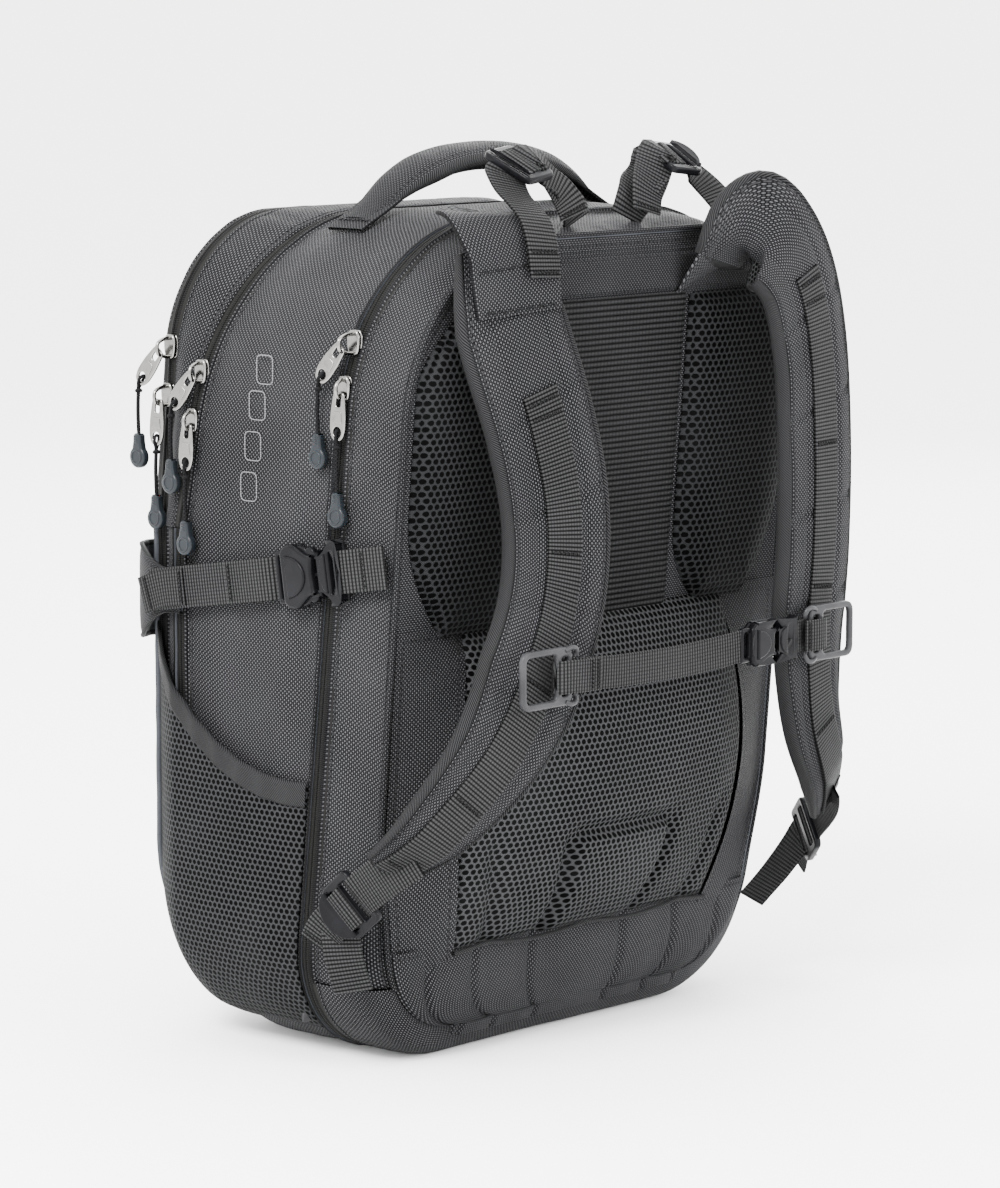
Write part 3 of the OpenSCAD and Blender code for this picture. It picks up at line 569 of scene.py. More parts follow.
def grid(name, P, body, mats, closed=False, uv=None, seam=None, which=None, flip=False, inside=None):
    """A sheet from a grid of points (nu, nv, 3) in mm. uv and seam are (nu, nv, 2) in mm; which gives a
    material index by column."""
    nu, nv = P.shape[:2]
    P = P * MM
    if uv is None:
        along = arclen(P, 0).mean(1)
        depth = arclen(P, 1).mean(0)
        uv = spread(along, depth)
    else:
        uv = np.asarray(uv) * MM
    seam = np.full((nu, nv, 2), 1.0) if seam is None else np.asarray(seam) * MM
    rows = nu if closed else nu - 1
    i, j = np.meshgrid(np.arange(rows), np.arange(nv - 1), indexing="ij")
    i, j = i.ravel(), j.ravel()
    i2 = (i + 1) % nu
    quads = np.stack([i * nv + j, i2 * nv + j, i2 * nv + j + 1, i * nv + j + 1], 1)
    order = (0, 3, 2, 1) if flip else (0, 1, 2, 3)
    quads = quads[:, order]
    mesh = bpy.data.meshes.new(name)
    mesh.from_pydata(P.reshape(-1, 3).tolist(), [], quads.tolist())
    loops_i = np.stack([i, i + 1, i + 1, i], 1)[:, order]
    loops_j = np.stack([j, j, j + 1, j + 1], 1)[:, order]
    def corner(values):
        if closed:
            last = values[-1:] + (values[-1:] - values[-2:-1])
            values = np.concatenate([values, last], 0)
        return values[loops_i.ravel(), loops_j.ravel()]
    for layer, values in (("UVMap", uv), ("Seam", seam)):
        mesh.uv_layers.new(name=layer).data.foreach_set("uv", corner(values).astype(np.float32).ravel())
    if which is not None:
        mesh.polygons.foreach_set("material_index", np.asarray(which)[j].astype(np.int32))
    mesh.update()
    o = new_object(name, mesh, body, mats)
    if inside is not None:
        s = o.modifiers.new("thickness", "SOLIDIFY")
        s.thickness = inside * MM
        s.offset = -1
        s.material_offset = len(mats) - 1 if mats[-1] in ("lining", "foam_lining") else 0
        s.use_rim = True
    return o


# Distances from a sewn edge where a cloth surface has its own columns, and its height there.
LIP = np.array([0.0, 0.5, 1.3, 2.6, 3.8, 4.5, 5.2, 6.4, 8.5, 12.0, 18.0, 26.0])
LIP_H = np.array([-1.5, -0.2, 0.55, 0.75, 0.45, 0.05, 0.42, 0.62, 0.6, 0.45, 0.2, 0.0])


def lofted(stations, extra, lips=(True, True), puff=2.0, seed=1, closed=False, crease=1.0):
    """A cloth surface through rings of points (each (nu, 3)). extra is the count of columns between the lips.
    Returns points, uv and seam grids."""
    S = np.stack(stations, 1)
    span = np.linalg.norm(np.diff(S, axis=1), axis=2).mean(0)
    at = np.r_[0, np.cumsum(span)]
    L = at[-1]
    keep = LIP[LIP < (L / 2 - 1.5 if lips[0] and lips[1] else L - 3)]
    lo = keep if lips[0] else np.array([0.0])
    hi = L - keep[::-1] if lips[1] else np.array([L])
    mid = np.linspace(lo[-1], hi[0], extra + 2)[1:-1]
    t = np.r_[lo, mid, hi]
    P = np.empty((S.shape[0], len(t), 3))
    k = np.clip(np.searchsorted(at, t, side="right") - 1, 0, len(at) - 2)
    m = len(at) - 1
    for c, (kk, tt) in enumerate(zip(k, t)):
        f = (tt - at[kk]) / (at[kk + 1] - at[kk])
        a, b = S[:, max(0, kk - 1)], S[:, kk]
        cc, d = S[:, kk + 1], S[:, min(m, kk + 2)]
        P[:, c] = 0.5 * (2 * b + (cc - a) * f + (2 * a - 5 * b + 4 * cc - d) * f * f
                         + (3 * b - a - 3 * cc + d) * f ** 3)
    n = normals(P, closed)
    h = np.zeros(len(t))
    d_edge = np.full(len(t), 1e3)
    if lips[0]:
        h += np.interp(t, LIP, LIP_H, right=0)
        d_edge = np.minimum(d_edge, t)
    if lips[1]:
        h += np.interp(L - t, LIP, LIP_H, right=0)
        d_edge = np.minimum(d_edge, L - t)
    ends = np.sin(np.pi * np.clip(t / L, 0, 1)) ** 0.6
    sag = soft(P, 95, seed) * puff + soft(P, 38, seed + 3) * 0.45 * crease
    near = np.exp(-((d_edge - 9) / 9) ** 2)
    pucker = soft(P * [1, 0.35, 1], 13, seed + 5) * 0.85 * crease
    h2 = h[None, :] + sag * ends[None, :] + pucker * near[None, :]
    P = P + n * h2[..., None]
    along = arclen(P, 0).mean(1)
    if closed:
        along = np.linspace(0, along[-1] * P.shape[0] / (P.shape[0] - 1), P.shape[0], endpoint=False)
    uv = spread(along, t)
    seam = spread(along, d_edge)
    return P, uv, seam


def on_plane(xz, k, d=0.0, lift=0.0):
    return np.c_[xz[:, 0], plane_y(k, xz[:, 1]) + d, xz[:, 1] + lift]


def cap(name, ring, centre, steps, crown, body, mats, seed, offset):
    """Fills a ring of points towards a centre, as a crowned cloth face with planar UVs."""
    ring = np.asarray(ring, float)
    c = np.asarray(centre, float)
    radius = np.linalg.norm(ring - c, axis=1).mean()
    d = np.r_[LIP[:9], np.geomspace(14, radius, steps)]
    f = 1 - d / radius
    f[-1] = 0.0
    P = c + (ring - c)[:, None, :] * f[None, :, None]
    h = np.interp(d, LIP, LIP_H, right=0) + crown * np.sin(np.clip(d / radius, 0, 1) * np.pi / 2)
    w = soft(P, 90, seed) * 2.2 + soft(P, 34, seed + 2) * 0.5
    h = h[None, :] + w * np.clip(d / 40, 0, 1)[None, :]
    P = P.copy()
    P[..., 1] += (offset / abs(offset)) * h
    uv = P[..., [0, 2]]
    along = run(ring)
    seam = spread(along, d)
    n = np.cross(P[1:, :-1] - P[:-1, :-1], P[:-1, 1:] - P[:-1, :-1])
    flip = float(n[..., 1].sum()) * offset < 0
    return grid(name, P, body, mats, uv=uv, seam=seam, inside=CLOTH_T, flip=flip)


def facing_out(P, centre=(0, 25, 250)):
    """Whether a grid's quads face away from a point."""
    n = np.cross(P[1:, :-1] - P[:-1, :-1], P[:-1, 1:] - P[:-1, :-1])
    return float((n * (P[:-1, :-1] - np.array(centre, float))).sum()) > 0


def cloth(name, made, body, closed=False):
    """A lined nylon shell from what lofted() returns, kept just above the floor."""
    P, uv, seam = made
    P[..., 2] = np.maximum(P[..., 2], 0.15)
    return grid(name, P, body, ["nylon", "lining"], closed=closed, uv=uv, seam=seam,
                inside=CLOTH_T, flip=not facing_out(P))


def between(xz, k0, d0, k1, d1, t, lift=0.0):
    y = (plane_y(k0, xz[:, 1]) + d0) * (1 - t) + (plane_y(k1, xz[:, 1]) + d1) * t
    return np.c_[xz[:, 0], y, xz[:, 1] + lift]


def round_in(t):
    return (POCKET_W - FACE_W) * t ** 1.5


def round_out(t):
    return 0.0 if t == 0 else 1 + (POCKET_D - 1) * t ** 0.7


ZIP_D = 5.2          # where cloth starts beside a zip
SPLIT = 309.0        # height of the fold across the front


def lower_loop(s):
    return loop_low(POCKET_W - round_in(s), float(base_z(ORG_Y + round_out(s) * 0.8)), FOOT_R + 12, SPLIT,
                    260)


def upper_loop(s):
    return loop_up(POCKET_W - round_in(s), BAG_H - 1 - 22 * s * s, (ARCH_R - 30) * (1 - 0.22 * s), SPLIT, 300)


def back_outline(n):
    """The edge of the back panel, in (x, z)."""
    return loop_back(HALF_W - 5, BAG_H - 11, ARCH_R - 10, LAP_Z, n, HALF_W - 17, 20, FOOT_R - 18)


def make_shells():
    n = 460
    full1 = loop_full(HALF_W, 0, BAG_H, FOOT_R, ARCH_R, n)
    full2 = loop_full(HALF_W - 1, float(base_z(MAIN_Y)), BAG_H - 1, FOOT_R + 10, ARCH_R + 10, n)
    mid = lambda y, w: loop_full(HALF_W + w, float(base_z(y)), BAG_H + w, FOOT_R, ARCH_R + 5, n)
    main = [on_plane(full1, 1, ZIP_D), between(mid(0, 1.2), 1, 6, 2, -6, 0.33),
            between(mid(40, 1.5), 1, 6, 2, -6, 0.66), on_plane(full2, 2, -ZIP_D)]
    o = cloth("main_gusset", lofted(main, 26, seed=1, closed=True, puff=1.7), "pack", closed=True)
    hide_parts("main_shell")

    low = [on_plane(loop_low(HALF_W - 1, float(base_z(MAIN_Y)), FOOT_R + 10, SPLIT, 260), 2, ZIP_D),
           between(loop_low(HALF_W - 4, float(base_z(MAIN_Y + 14)), FOOT_R + 10, SPLIT, 260), 2, 0, 3, 0,
                   0.5), on_plane(lower_loop(0), 3, -ZIP_D)]
    o = cloth("lower_side_panel", lofted(low, 8, seed=2, puff=0.8), "pack")
    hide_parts("lower_front_shell")
    rounding = [on_plane(lower_loop(0), 3, ZIP_D)] + [
        on_plane(lower_loop(s), 3, round_out(s)) for s in (0.2, 0.4, 0.7, 1.0)]
    cloth("lower_pocket_edge", lofted(rounding, 10, seed=4, puff=0.8), "pack")
    ring = on_plane(lower_loop(1), 3, POCKET_D)
    cap("lower_front_face", ring, (0, FRONT_Y, SPLIT), 22, 2.5, "pack", ["nylon", "lining"], 4, 1)

    up = [on_plane(loop_up(HALF_W - 1, BAG_H - 1, ARCH_R + 10, SPLIT, 300), 2, ZIP_D),
          between(loop_up(HALF_W - 4, BAG_H + 0.5, ARCH_R - 5, SPLIT, 300), 2, 0, 3, 0, 0.5),
          on_plane(upper_loop(0), 3, -ZIP_D)]
    o = cloth("organiser_gusset", lofted(up, 8, seed=2, puff=0.8), None)
    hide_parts("organiser_shell")
    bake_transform(o)
    rounding = [on_plane(upper_loop(0), 3, ZIP_D)] + [
        on_plane(upper_loop(s), 3, round_out(s)) for s in (0.2, 0.4, 0.7, 1.0)]
    o = cloth("pocket_edge", lofted(rounding, 10, seed=4, puff=0.8), "front_pocket")
    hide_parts("pocket_shell")
    ring = on_plane(upper_loop(1), 3, POCKET_D)
    cap("pocket_face", ring, (0, FRONT_Y, SPLIT), 22, 2.5, "front_pocket", ["nylon", "lining"],
        4, 1)

    z0 = LAP_Z
    lap = [on_plane(loop_back(HALF_W, BAG_H, ARCH_R, z0, 360, HALF_W, 0, FOOT_R), 1, -ZIP_D),
           on_plane(loop_back(HALF_W - 2.5, BAG_H - 4.5, ARCH_R - 4, z0, 360, HALF_W - 2, 0, FOOT_R), 0, 15),
           on_plane(back_outline(360), 0, 0)]
    o = cloth("laptop_gusset", lofted(lap, 14, seed=6, puff=1.2), "laptop_compartment")
    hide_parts("laptop_shell")
    ring = on_plane(back_outline(360), 0)
    cap("back_cloth", ring, (0, float(plane_y(0, z0)), z0), 30, 0.3, "laptop_compartment",
        ["nylon", "lining"], 7, -1)

    base = [on_plane(loop_low(HALF_W, 0, FOOT_R, z0, 260), 1, -ZIP_D),
            on_plane(loop_low(HALF_W - 2, 0, FOOT_R, z0, 260), 0, 18),
            on_plane(loop_low(HALF_W - 7, 6, FOOT_R - 8, z0, 260), 0, 6),
            on_plane(loop_low(HALF_W - 17, 20, FOOT_R - 18, z0, 260), 0, 0)]
    o = cloth("base_gusset", lofted(base, 18, (True, False), seed=6, puff=0.8), "pack")
    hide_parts("base_shell")


def make_piping():
    """Rolled seams round the back panel and the two front faces."""
    back = on_plane(back_outline(300), 0, -0.6)
    back = back + outward(back, False) * 0.9
    tube("back_piping", back, 1.7, "laptop_compartment", "nylon_fine", 10, (0, -1, 0))
    for name, ring, body in (("pocket_piping", upper_loop(1), "front_pocket"),
                             ("lower_front_piping", lower_loop(1), "pack")):
        line = on_plane(ring, 3, POCKET_D + 0.6)
        tube(name, line + outward(line, False) * 0.6, 1.5, body, "nylon_fine", 10, (0, 1, 0))


def outward(path, closed, centre=(0, 250)):
    """Outward directions in the (x, z) plane along an outline of (x, y, z) points."""
    t = (np.roll(path, -1, 0) - np.roll(path, 1, 0)) if closed else np.gradient(path, axis=0)
    n = np.c_[t[:, 2], np.zeros(len(t)), -t[:, 0]]
    n /= np.linalg.norm(n, axis=1, keepdims=True)
    sign = np.sign(((path - [centre[0], 0, centre[1]]) * n).sum(1))
    return n * np.where(sign == 0, 1, sign)[:, None]


TAPE_D = np.array([0.12, 0.15, 0.5, 1.2, 1.9, 2.4, 3.2, 4.6, 6.2, 7.4])
TAPE_H = np.array([-2.0, 0.2, 0.85, 1.15, 0.9, 0.4, 0.15, 0.0, -0.3, -0.9])


def zip_half(name, path, side, body, closed=False, node=None):
    """Half of a zip swept along an outline: the coil's bead beside the split and the tape behind it."""
    path = resample(path, step=1.6, closed=closed)
    out = outward(path, closed)
    P = path[:, None, :] + out[:, None, :] * (TAPE_H - 0.3)[None, :, None]
    P = P + np.array([0.0, 1.0, 0.0]) * (side * TAPE_D)[None, :, None]
    along = run(path)
    uv = spread(along, TAPE_D)
    P[..., 2] = np.maximum(P[..., 2], 0.1)
    o = grid(name, P, body, ["tape"], closed=closed, uv=uv, inside=0.7,
             flip=not facing_out(P, (0, 30, 250)))
    if node:
        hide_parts(node)


def make_zips():
    full1 = on_plane(loop_full(HALF_W, 0, BAG_H, FOOT_R, ARCH_R, 600), 1)
    zip_half("laptop_zip_front", full1, 1, "pack", True, node="laptop_zip_front_tape")
    up1 = on_plane(loop_back(HALF_W, BAG_H, ARCH_R, LAP_Z, 500, HALF_W, 0, FOOT_R), 1)
    zip_half("laptop_zip_rear", up1, -1, "laptop_compartment", node="laptop_zip_rear_tape")
    zip_half("laptop_zip_end", on_plane(loop_low(HALF_W, 0, FOOT_R, LAP_Z, 300), 1), -1, "pack")
    up2 = on_plane(loop_up(HALF_W - 1, BAG_H - 1, ARCH_R + 10, SPLIT, 400), 2)
    low2 = on_plane(loop_low(HALF_W - 1, float(base_z(MAIN_Y)), FOOT_R + 10, SPLIT, 400), 2)
    zip_half("main_zip_rear", up2, -1, "pack", node="main_zip_rear_tape")
    zip_half("main_zip_front", up2, 1, "organiser", node="main_zip_front_tape")
    up3 = on_plane(upper_loop(0), 3)
    low3 = on_plane(lower_loop(0), 3)
    zip_half("pocket_zip_rear", up3, -1, "organiser", node="pocket_zip_rear_tape")
    zip_half("pocket_zip_front", up3, 1, "front_pocket", node="pocket_zip_front_tape")
    for name, low in (("main", low2), ("pocket", low3)):
        for s, side in (("rear", -1), ("front", 1)):
            zip_half(f"{name}_zip_end_{s}", low, side, "pack")


# ---------------------------------------------------------------- side pockets

def side_x(y, z):
    w = np.where(y < MAIN_Y, HALF_W, HALF_W - 13 * (np.maximum(0, y - MAIN_Y) / 29) ** 1.4)
    d = np.maximum(0, np.maximum(0, base_z(y) - 3) + FOOT_R - z)
    return w - FOOT_R * (1 - np.sqrt(np.maximum(0, 1 - (d / FOOT_R) ** 2)))


def pocket_top(y):
    return 168 + 0.0046 * np.maximum(0, y + 24) ** 2


def make_side_pockets():
    ny, ns = 90, 80
    for side, tag in SIDES:
        u = np.linspace(0, 1, ny)[:, None]
        s = np.linspace(0, 1, ns)[None, :]
        y_top = -32 + 141 * u
        low = 12 + base_z(y_top)
        z = low + (pocket_top(y_top) - low) * s
        y0 = plane_y(1, z) + 6.6
        y = y0 + (109 - y0) * u
        full = np.sin(np.pi / 2 * np.minimum(1, 2.4 * s))
        gap = 1.6 + 1.2 * np.sin(np.pi * u) ** 0.5 + 5.2 * np.sin(np.pi * u) ** 0.8 * full
        gap = gap + 0.6 * np.sin(u * 46 + s * 4) * np.exp(-((1 - s) / 0.06) ** 2) * np.sin(np.pi * u)
        sewn = np.clip(s / 0.035, 0, 1)
        gap = gap * sewn - 2.2 * (1 - sewn)
        x = side * (side_x(y, z) + gap)
        P = np.stack(np.broadcast_arrays(x, y, z), -1)
        P[..., 0] += side * soft(P, 55, 11) * 0.9 * (np.sin(np.pi * u) ** 0.5 * np.clip(5 * s, 0, 1))
        P[..., 2] = np.maximum(P[..., 2], 0.6)
        uv = np.stack(np.broadcast_arrays(P[..., 1], P[..., 2]), -1)
        o = grid(f"side_pocket_{tag}", P, "pack", ["pocket_mesh"], uv=uv, inside=1.2,
                 flip=not facing_out(P))
        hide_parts("mesh_pockets")
        # bound top edge
        top = P[:, -1] * 1.0
        down = P[:, -14] - top
        down /= np.linalg.norm(down, axis=1, keepdims=True)
        out = np.zeros_like(top)
        out[:, 0] = side
        prof = [(-0.8, -1.4), (-1.6, -0.6), (-1.7, 0.6), (-0.8, 1.7), (1.5, 1.9), (7, 1.7), (11.5, 1.6),
                (13, 1.2), (13.4, 0.2)]
        B = np.stack([top + down * a + out * b for a, b in prof], 1)
        along = arclen(B, 0).mean(1)
        across = arclen(B, 1).mean(0)
        uvb = spread(along, across)
        d = np.array([20, 20, 20, 20, 20, 8.0, 4.9, 3.4, 3.0])
        seam = spread(along, d)
        grid(f"side_pocket_edge_{tag}", B, "pack", ["binding"], uv=uvb, seam=seam,
             flip=not facing_out(B))


# ---------------------------------------------------------------- pads on the back

def pad_grid(name, rows, height, body, slot, mats, nx=60, node=None, seed=3, rough=0.5,
             which=None):
    """A crowned pad on the back. rows is a list of (z, left x, right x); height(x, z, a, b) gives how far it
    stands out, with a and b from 0 to 1 across and up."""
    z, x0, x1 = (np.array(c, float) for c in zip(*rows))
    a = np.linspace(0, 1, nx)
    X = x0[:, None] + (x1 - x0)[:, None] * a[None, :]
    Z = np.repeat(z[:, None], nx, 1)
    b = np.repeat(((z - z[0]) / (z[-1] - z[0]))[:, None], nx, 1)
    A = np.repeat(a[None, :], len(z), 0)
    H = height(X, Z, A, b)
    P = np.stack([X, plane_y(0, Z) - 0.6 - H, Z], -1)
    P[..., 1] -= soft(P, 45, seed) * rough * np.clip(H / 6, 0, 1)
    uv = np.stack([X, Z], -1) if slot == "mesh_fabric" else np.stack([Z, X], -1)
    edge = np.minimum(np.minimum(A * (X[:, -1:] - X[:, :1]), (1 - A) * (X[:, -1:] - X[:, :1])),
                      np.minimum(Z - z[0], z[-1] - Z))
    seam = np.stack([X + Z, edge], -1)
    o = grid(name, P, body, mats, uv=uv, seam=seam, flip=not facing_out(P, (0, 100, 200)), which=which)
    if node:
        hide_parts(node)
    return o


def edge_fade(d, r):
    """A pad's rounded shoulder: 0 at its edge, 1 beyond r."""
    t = np.clip(d / r, 0, 1)
    return np.sqrt(np.maximum(0, 1 - (1 - t) ** 2))


def groove(d, w):
    return np.exp(-(d / w) ** 2)


def wing_outer(z):
    z = np.asarray(z, float)
    high = 0.016 * np.maximum(0, z - 398) ** 2
    return np.where(z > 330, -164.0 + high, -164 + 0.0058 * (330 - np.minimum(z, 330)) ** 2)


def wing_inner(z):
    return np.where(z > 300, -68.0, -68 - 0.012 * (300 - np.minimum(z, 300)) ** 2)


def lumbar_w(z):
    return 112 + 16 * np.sin(np.pi * (z - 60) / 210)


def foot_w(z):
    """Half-width of the back panel's edge at height z."""
    foot = 101 + math.sqrt(max(0.0, 57.0 ** 2 - max(0.0, 77 - z) ** 2))
    f = min(1, max(0, (150 - z) / 100))
    f = ease(f)
    return 170 * (1 - f) + foot * f


def make_pads():
    body = "laptop_compartment"
    # mesh wing pads
    z = np.linspace(257, 446, 80)
    for s, tag in SIDES:
        def height(X, Z, A, B):
            wide = np.abs(wing_outer(Z) - wing_inner(Z))
            e = np.minimum(np.minimum(A, 1 - A) * wide, np.minimum((Z - 256) * 0.9, (447 - Z)))
            return 0.4 + 10.5 * edge_fade(e, 30) - 2.2 * groove(e - 4, 1.6)
        rows = [(zz, *sorted((-s * float(wing_outer(zz)), -s * float(wing_inner(zz))))) for zz in z]
        pad_grid(f"wing_pad_{tag}", rows, height, body, "mesh_fabric", ["wing_mesh_painted_shade"], 60, "wing_pads",
                 rough=0.9)
    # ribbed panel over the spine
    def height(X, Z, A, B):
        e = np.minimum(A, 1 - A) * 130
        roll = 0.25 * np.sin(Z / 9.0 + X / 40) * edge_fade(e, 12)
        return 0.3 + 3.0 * edge_fade(e, 7) + roll - 1.2 * groove(e - 3, 1.2)
    pad_grid("spine_cloth", [(zz, -65, 65) for zz in np.linspace(256, 447, 90)], height, body, "webbing",
             ["spine"], 60, "spine_panel")
    # band under the straps
    def height(X, Z, A, B):
        e = np.minimum(np.minimum(A, 1 - A) * 244, np.minimum(Z - 444.5, 474.5 - Z))
        return 0.6 + 3.0 * edge_fade(e, 8) - 1.2 * groove(e - 3.2, 1.0)
    pad_grid("top_band_cloth", [(zz, -122.0, 122.0) for zz in np.linspace(444.5, 474.5, 30)], height, body,
             "nylon", ["nylon_fine"], 140, "top_band")
    # lumbar pad
    def height(X, Z, A, B):
        w = lumbar_w(Z)
        e = np.minimum(np.minimum(A, 1 - A) * 2 * w, np.minimum((Z - 66) * 1.1, (259 - Z)))
        up = np.sin(np.pi * np.clip((Z - 58) / 200, 0, 1)) ** 0.7
        side = 15 * up * edge_fade(e, 10)
        crown = (24 * up) * np.sin(np.pi * A) ** 0.7 * edge_fade(e, 40)
        h = side + crown + 4 * edge_fade(e, 12)
        low = 1 - np.clip((Z - 118) / 26, 0, 1) ** 2 * (3 - 2 * np.clip((Z - 118) / 26, 0, 1))
        half = 36.5 + (Z - 70) * 5 / 60
        h = h - 7.0 * low * groove(np.abs(X) - half - 3, 5.5) * np.clip((Z - 60) / 12, 0, 1)
        far = 88 + (Z - 70) * 0.20
        h = h - 4.5 * low * groove(np.abs(X) - far, 6.0)
        block = np.clip((half + 2 - np.abs(X)) / 6, 0, 1)
        h = h - 5.0 * block * groove(Z - 133, 5.0) + 2.6 * block * np.clip((131 - Z) / 5, 0, 1)
        return h
    rows = [(zz, -float(lumbar_w(zz)), float(lumbar_w(zz))) for zz in np.linspace(66, 259, 130)]
    pad_grid("lumbar_cushion", rows, height, body, "mesh_fabric", ["mesh"], 150, "lumbar_pad", rough=1.2)
    # nylon beside the lumbar pad
    for s, tag in SIDES:
        def height(X, Z, A, B):
            near = A if s < 0 else 1 - A
            up = np.sin(np.pi * np.clip((Z - 52) / 205, 0, 1)) ** 0.7
            ends = edge_fade(262 - Z, 34) * edge_fade(Z - 50, 14)
            return 0.4 + (19 * up * near ** 1.3 + 1.6 * np.sin(np.pi * near)) * ends
        x = [(zz, -foot_w(zz) + 2.5, -float(lumbar_w(zz)) + 2) for zz in np.linspace(50, 262, 90)]
        if s > 0:
            x = [(zz, -b, -a) for zz, a, b in x]
        pad_grid(f"lower_wing_{tag}", x, height, body, "nylon", ["nylon"], 30, "lower_wings", rough=0.8)
    # fanned channels below the pad, sewn over the base and bending at its fold
    zs = np.linspace(13, 72, 60)
    xs = np.linspace(-158, 158, 240)
    X, Z = np.meshgrid(xs, zs)
    lean = 1 + (70 - Z) / 60 * 0.22
    h = 3.4 * np.sin(np.pi * np.clip((Z - 8) / 78, 0, 1)) ** 0.7 + 1.0
    for c in (0.0, 40, 88, 126):
        for sg in ((1,) if c == 0 else (1, -1)):
            if c:
                h = h - 2.4 * groove(X - sg * c * lean, 3.0) + 1.3 * groove(X - sg * (c + 20) * lean, 15)
    h = h * edge_fade(np.minimum(158 - np.abs(X), 40), 14)
    drop = np.clip((22 - Z) / 16, 0, 1)
    y = plane_y(0, Z) - 0.8 - h + 5.5 * drop ** 2
    below = np.clip(77 - Z, 0, 57)
    w_at = np.where(Z < 77, 101 + np.sqrt(57.0 ** 2 - below ** 2), 158)
    P = np.stack([X * w_at / 158, y, Z], -1)
    seam = np.stack([X, 72 - Z + 1.5], -1)
    o = grid("fan_panel", P, None, ["nylon"], uv=np.stack([Z, X], -1), seam=seam,
             flip=not facing_out(P, (0, 100, 60)))
    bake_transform(o)
    # piping along the lumbar pad's lower edge
    xs = np.linspace(-113, 113, 160)
    wave = 3.2 * np.abs(np.sin(xs / 43 * math.pi * 0.5))
    line = np.c_[xs, plane_y(0, 69) - 8.5 - 3.5 * np.cos(xs / 120 * math.pi / 2), 69 - wave]
    tube("lumbar_piping", line, 1.3, body, "binding")


def frames(path, out):
    """Tangent, sideways and outward directions along a path."""
    t = np.gradient(path, axis=0)
    t /= np.linalg.norm(t, axis=1, keepdims=True)
    out = np.broadcast_to(np.asarray(out, float), path.shape)
    u = np.cross(t, out)
    u /= np.linalg.norm(u, axis=1, keepdims=True)
    return t, u, np.cross(u, t)


def turned(P, k, out):
    """Whether a swept section's quads at column k face away from out."""
    return float((np.cross(P[1, k] - P[0, k], P[0, k + 1] - P[0, k]) * out).sum()) < 0


def tube(name, path, r, body, mat, sides=10, out=(0, -1, 0.01)):
    path = np.asarray(path, float)
    t, u, v = frames(path, out)
    a = np.linspace(0, 2 * math.pi, sides + 1)
    P = path[:, None] + r * (u[:, None] * np.cos(a)[None, :, None] + v[:, None] * np.sin(a)[None, :, None])
    return grid(name, P, body, [mat])


def ribbon(name, path, w, t, out, body, mat="webbing", node=None, n=None,
           wave=0.25, tacks=()):
    """Flat webbing along a path, w wide and t thick, with soft rounded edges."""
    path = np.asarray(path, float)
    if n:
        path = smooth(path, n)
    path = resample(path, step=3.0)
    out = np.asarray(out, float)
    if out.ndim == 2:
        out = np.array([np.interp(np.linspace(0, 1, len(path)), np.linspace(0, 1, len(out)), out[:, k])
                        for k in range(3)]).T
    tt, u, v = frames(path, out)
    if not np.isscalar(w):
        w = np.interp(np.linspace(0, 1, len(path)), np.linspace(0, 1, len(w)), w)
    half = w / 2
    half = np.broadcast_to(half, (len(path),))
    edge = 0.35
    prof = [(-1, 0), (-1, edge), (-0.96, 0.5), (-0.5, 0.54), (0, 0.56), (0.5, 0.54), (0.96, 0.5),
            (1, edge), (1, 0), (1, -edge), (0.96, -0.5), (0, -0.5), (-0.96, -0.5), (-1, -edge), (-1, 0)]
    a = np.array([p[0] for p in prof])
    b = np.array([p[1] for p in prof])
    P = path[:, None] + u[:, None] * (half[:, None] * a[None, :])[..., None]
    P = P + v[:, None] * (t * b)[None, :, None]
    P = P + v[:, None] * (soft(path, 30, 5) * wave)[:, None, None]
    along = run(path)
    uv = spread(along, (half.mean() * a))
    flip = turned(P, 4, v[0])
    o = grid(name, P, body, [mat], uv=uv, flip=flip)
    for k, where in enumerate(tacks):
        i = int(round(where * (len(path) - 1)))
        rows = [path[i] + v[i] * (t * 0.56 + 0.35) + u[i] * x * half[i] * 0.86
                + tt[i] * (0.9 * (1 if q % 2 else -1)) for q, x in enumerate(np.linspace(-1, 1, 15))]
        tube(f"{name}_tack_{k}", np.array(rows), 0.45, body, "thread", 6, v[i])
    if node:
        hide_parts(node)
    return o


# ---------------------------------------------------------------- harness

ROUTE_L = [[-112, -126, 478], [-112, -134, 440], [-96, -142, 382], [-87, -146, 332], [-94, -151, 285],
           [-118, -157, 241], [-150, -156, 195], [-179, -136, 154], [-189, -112, 132]]
ROUTE_R = [[84, -126, 464], [90, -133, 478], [106, -143, 480], [124, -150, 455], [133, -154, 412],
           [136, -156, 350], [134, -157, 290], [131, -156, 240], [138, -153, 190], [158, -146, 152],
           [178, -132, 126]]


def strap_width(f):
    return 76 * np.where(f < 0.1, 0.82 + 1.8 * f, np.where(f < 0.66, 1, 1 - 1.55 * (f - 0.66)))


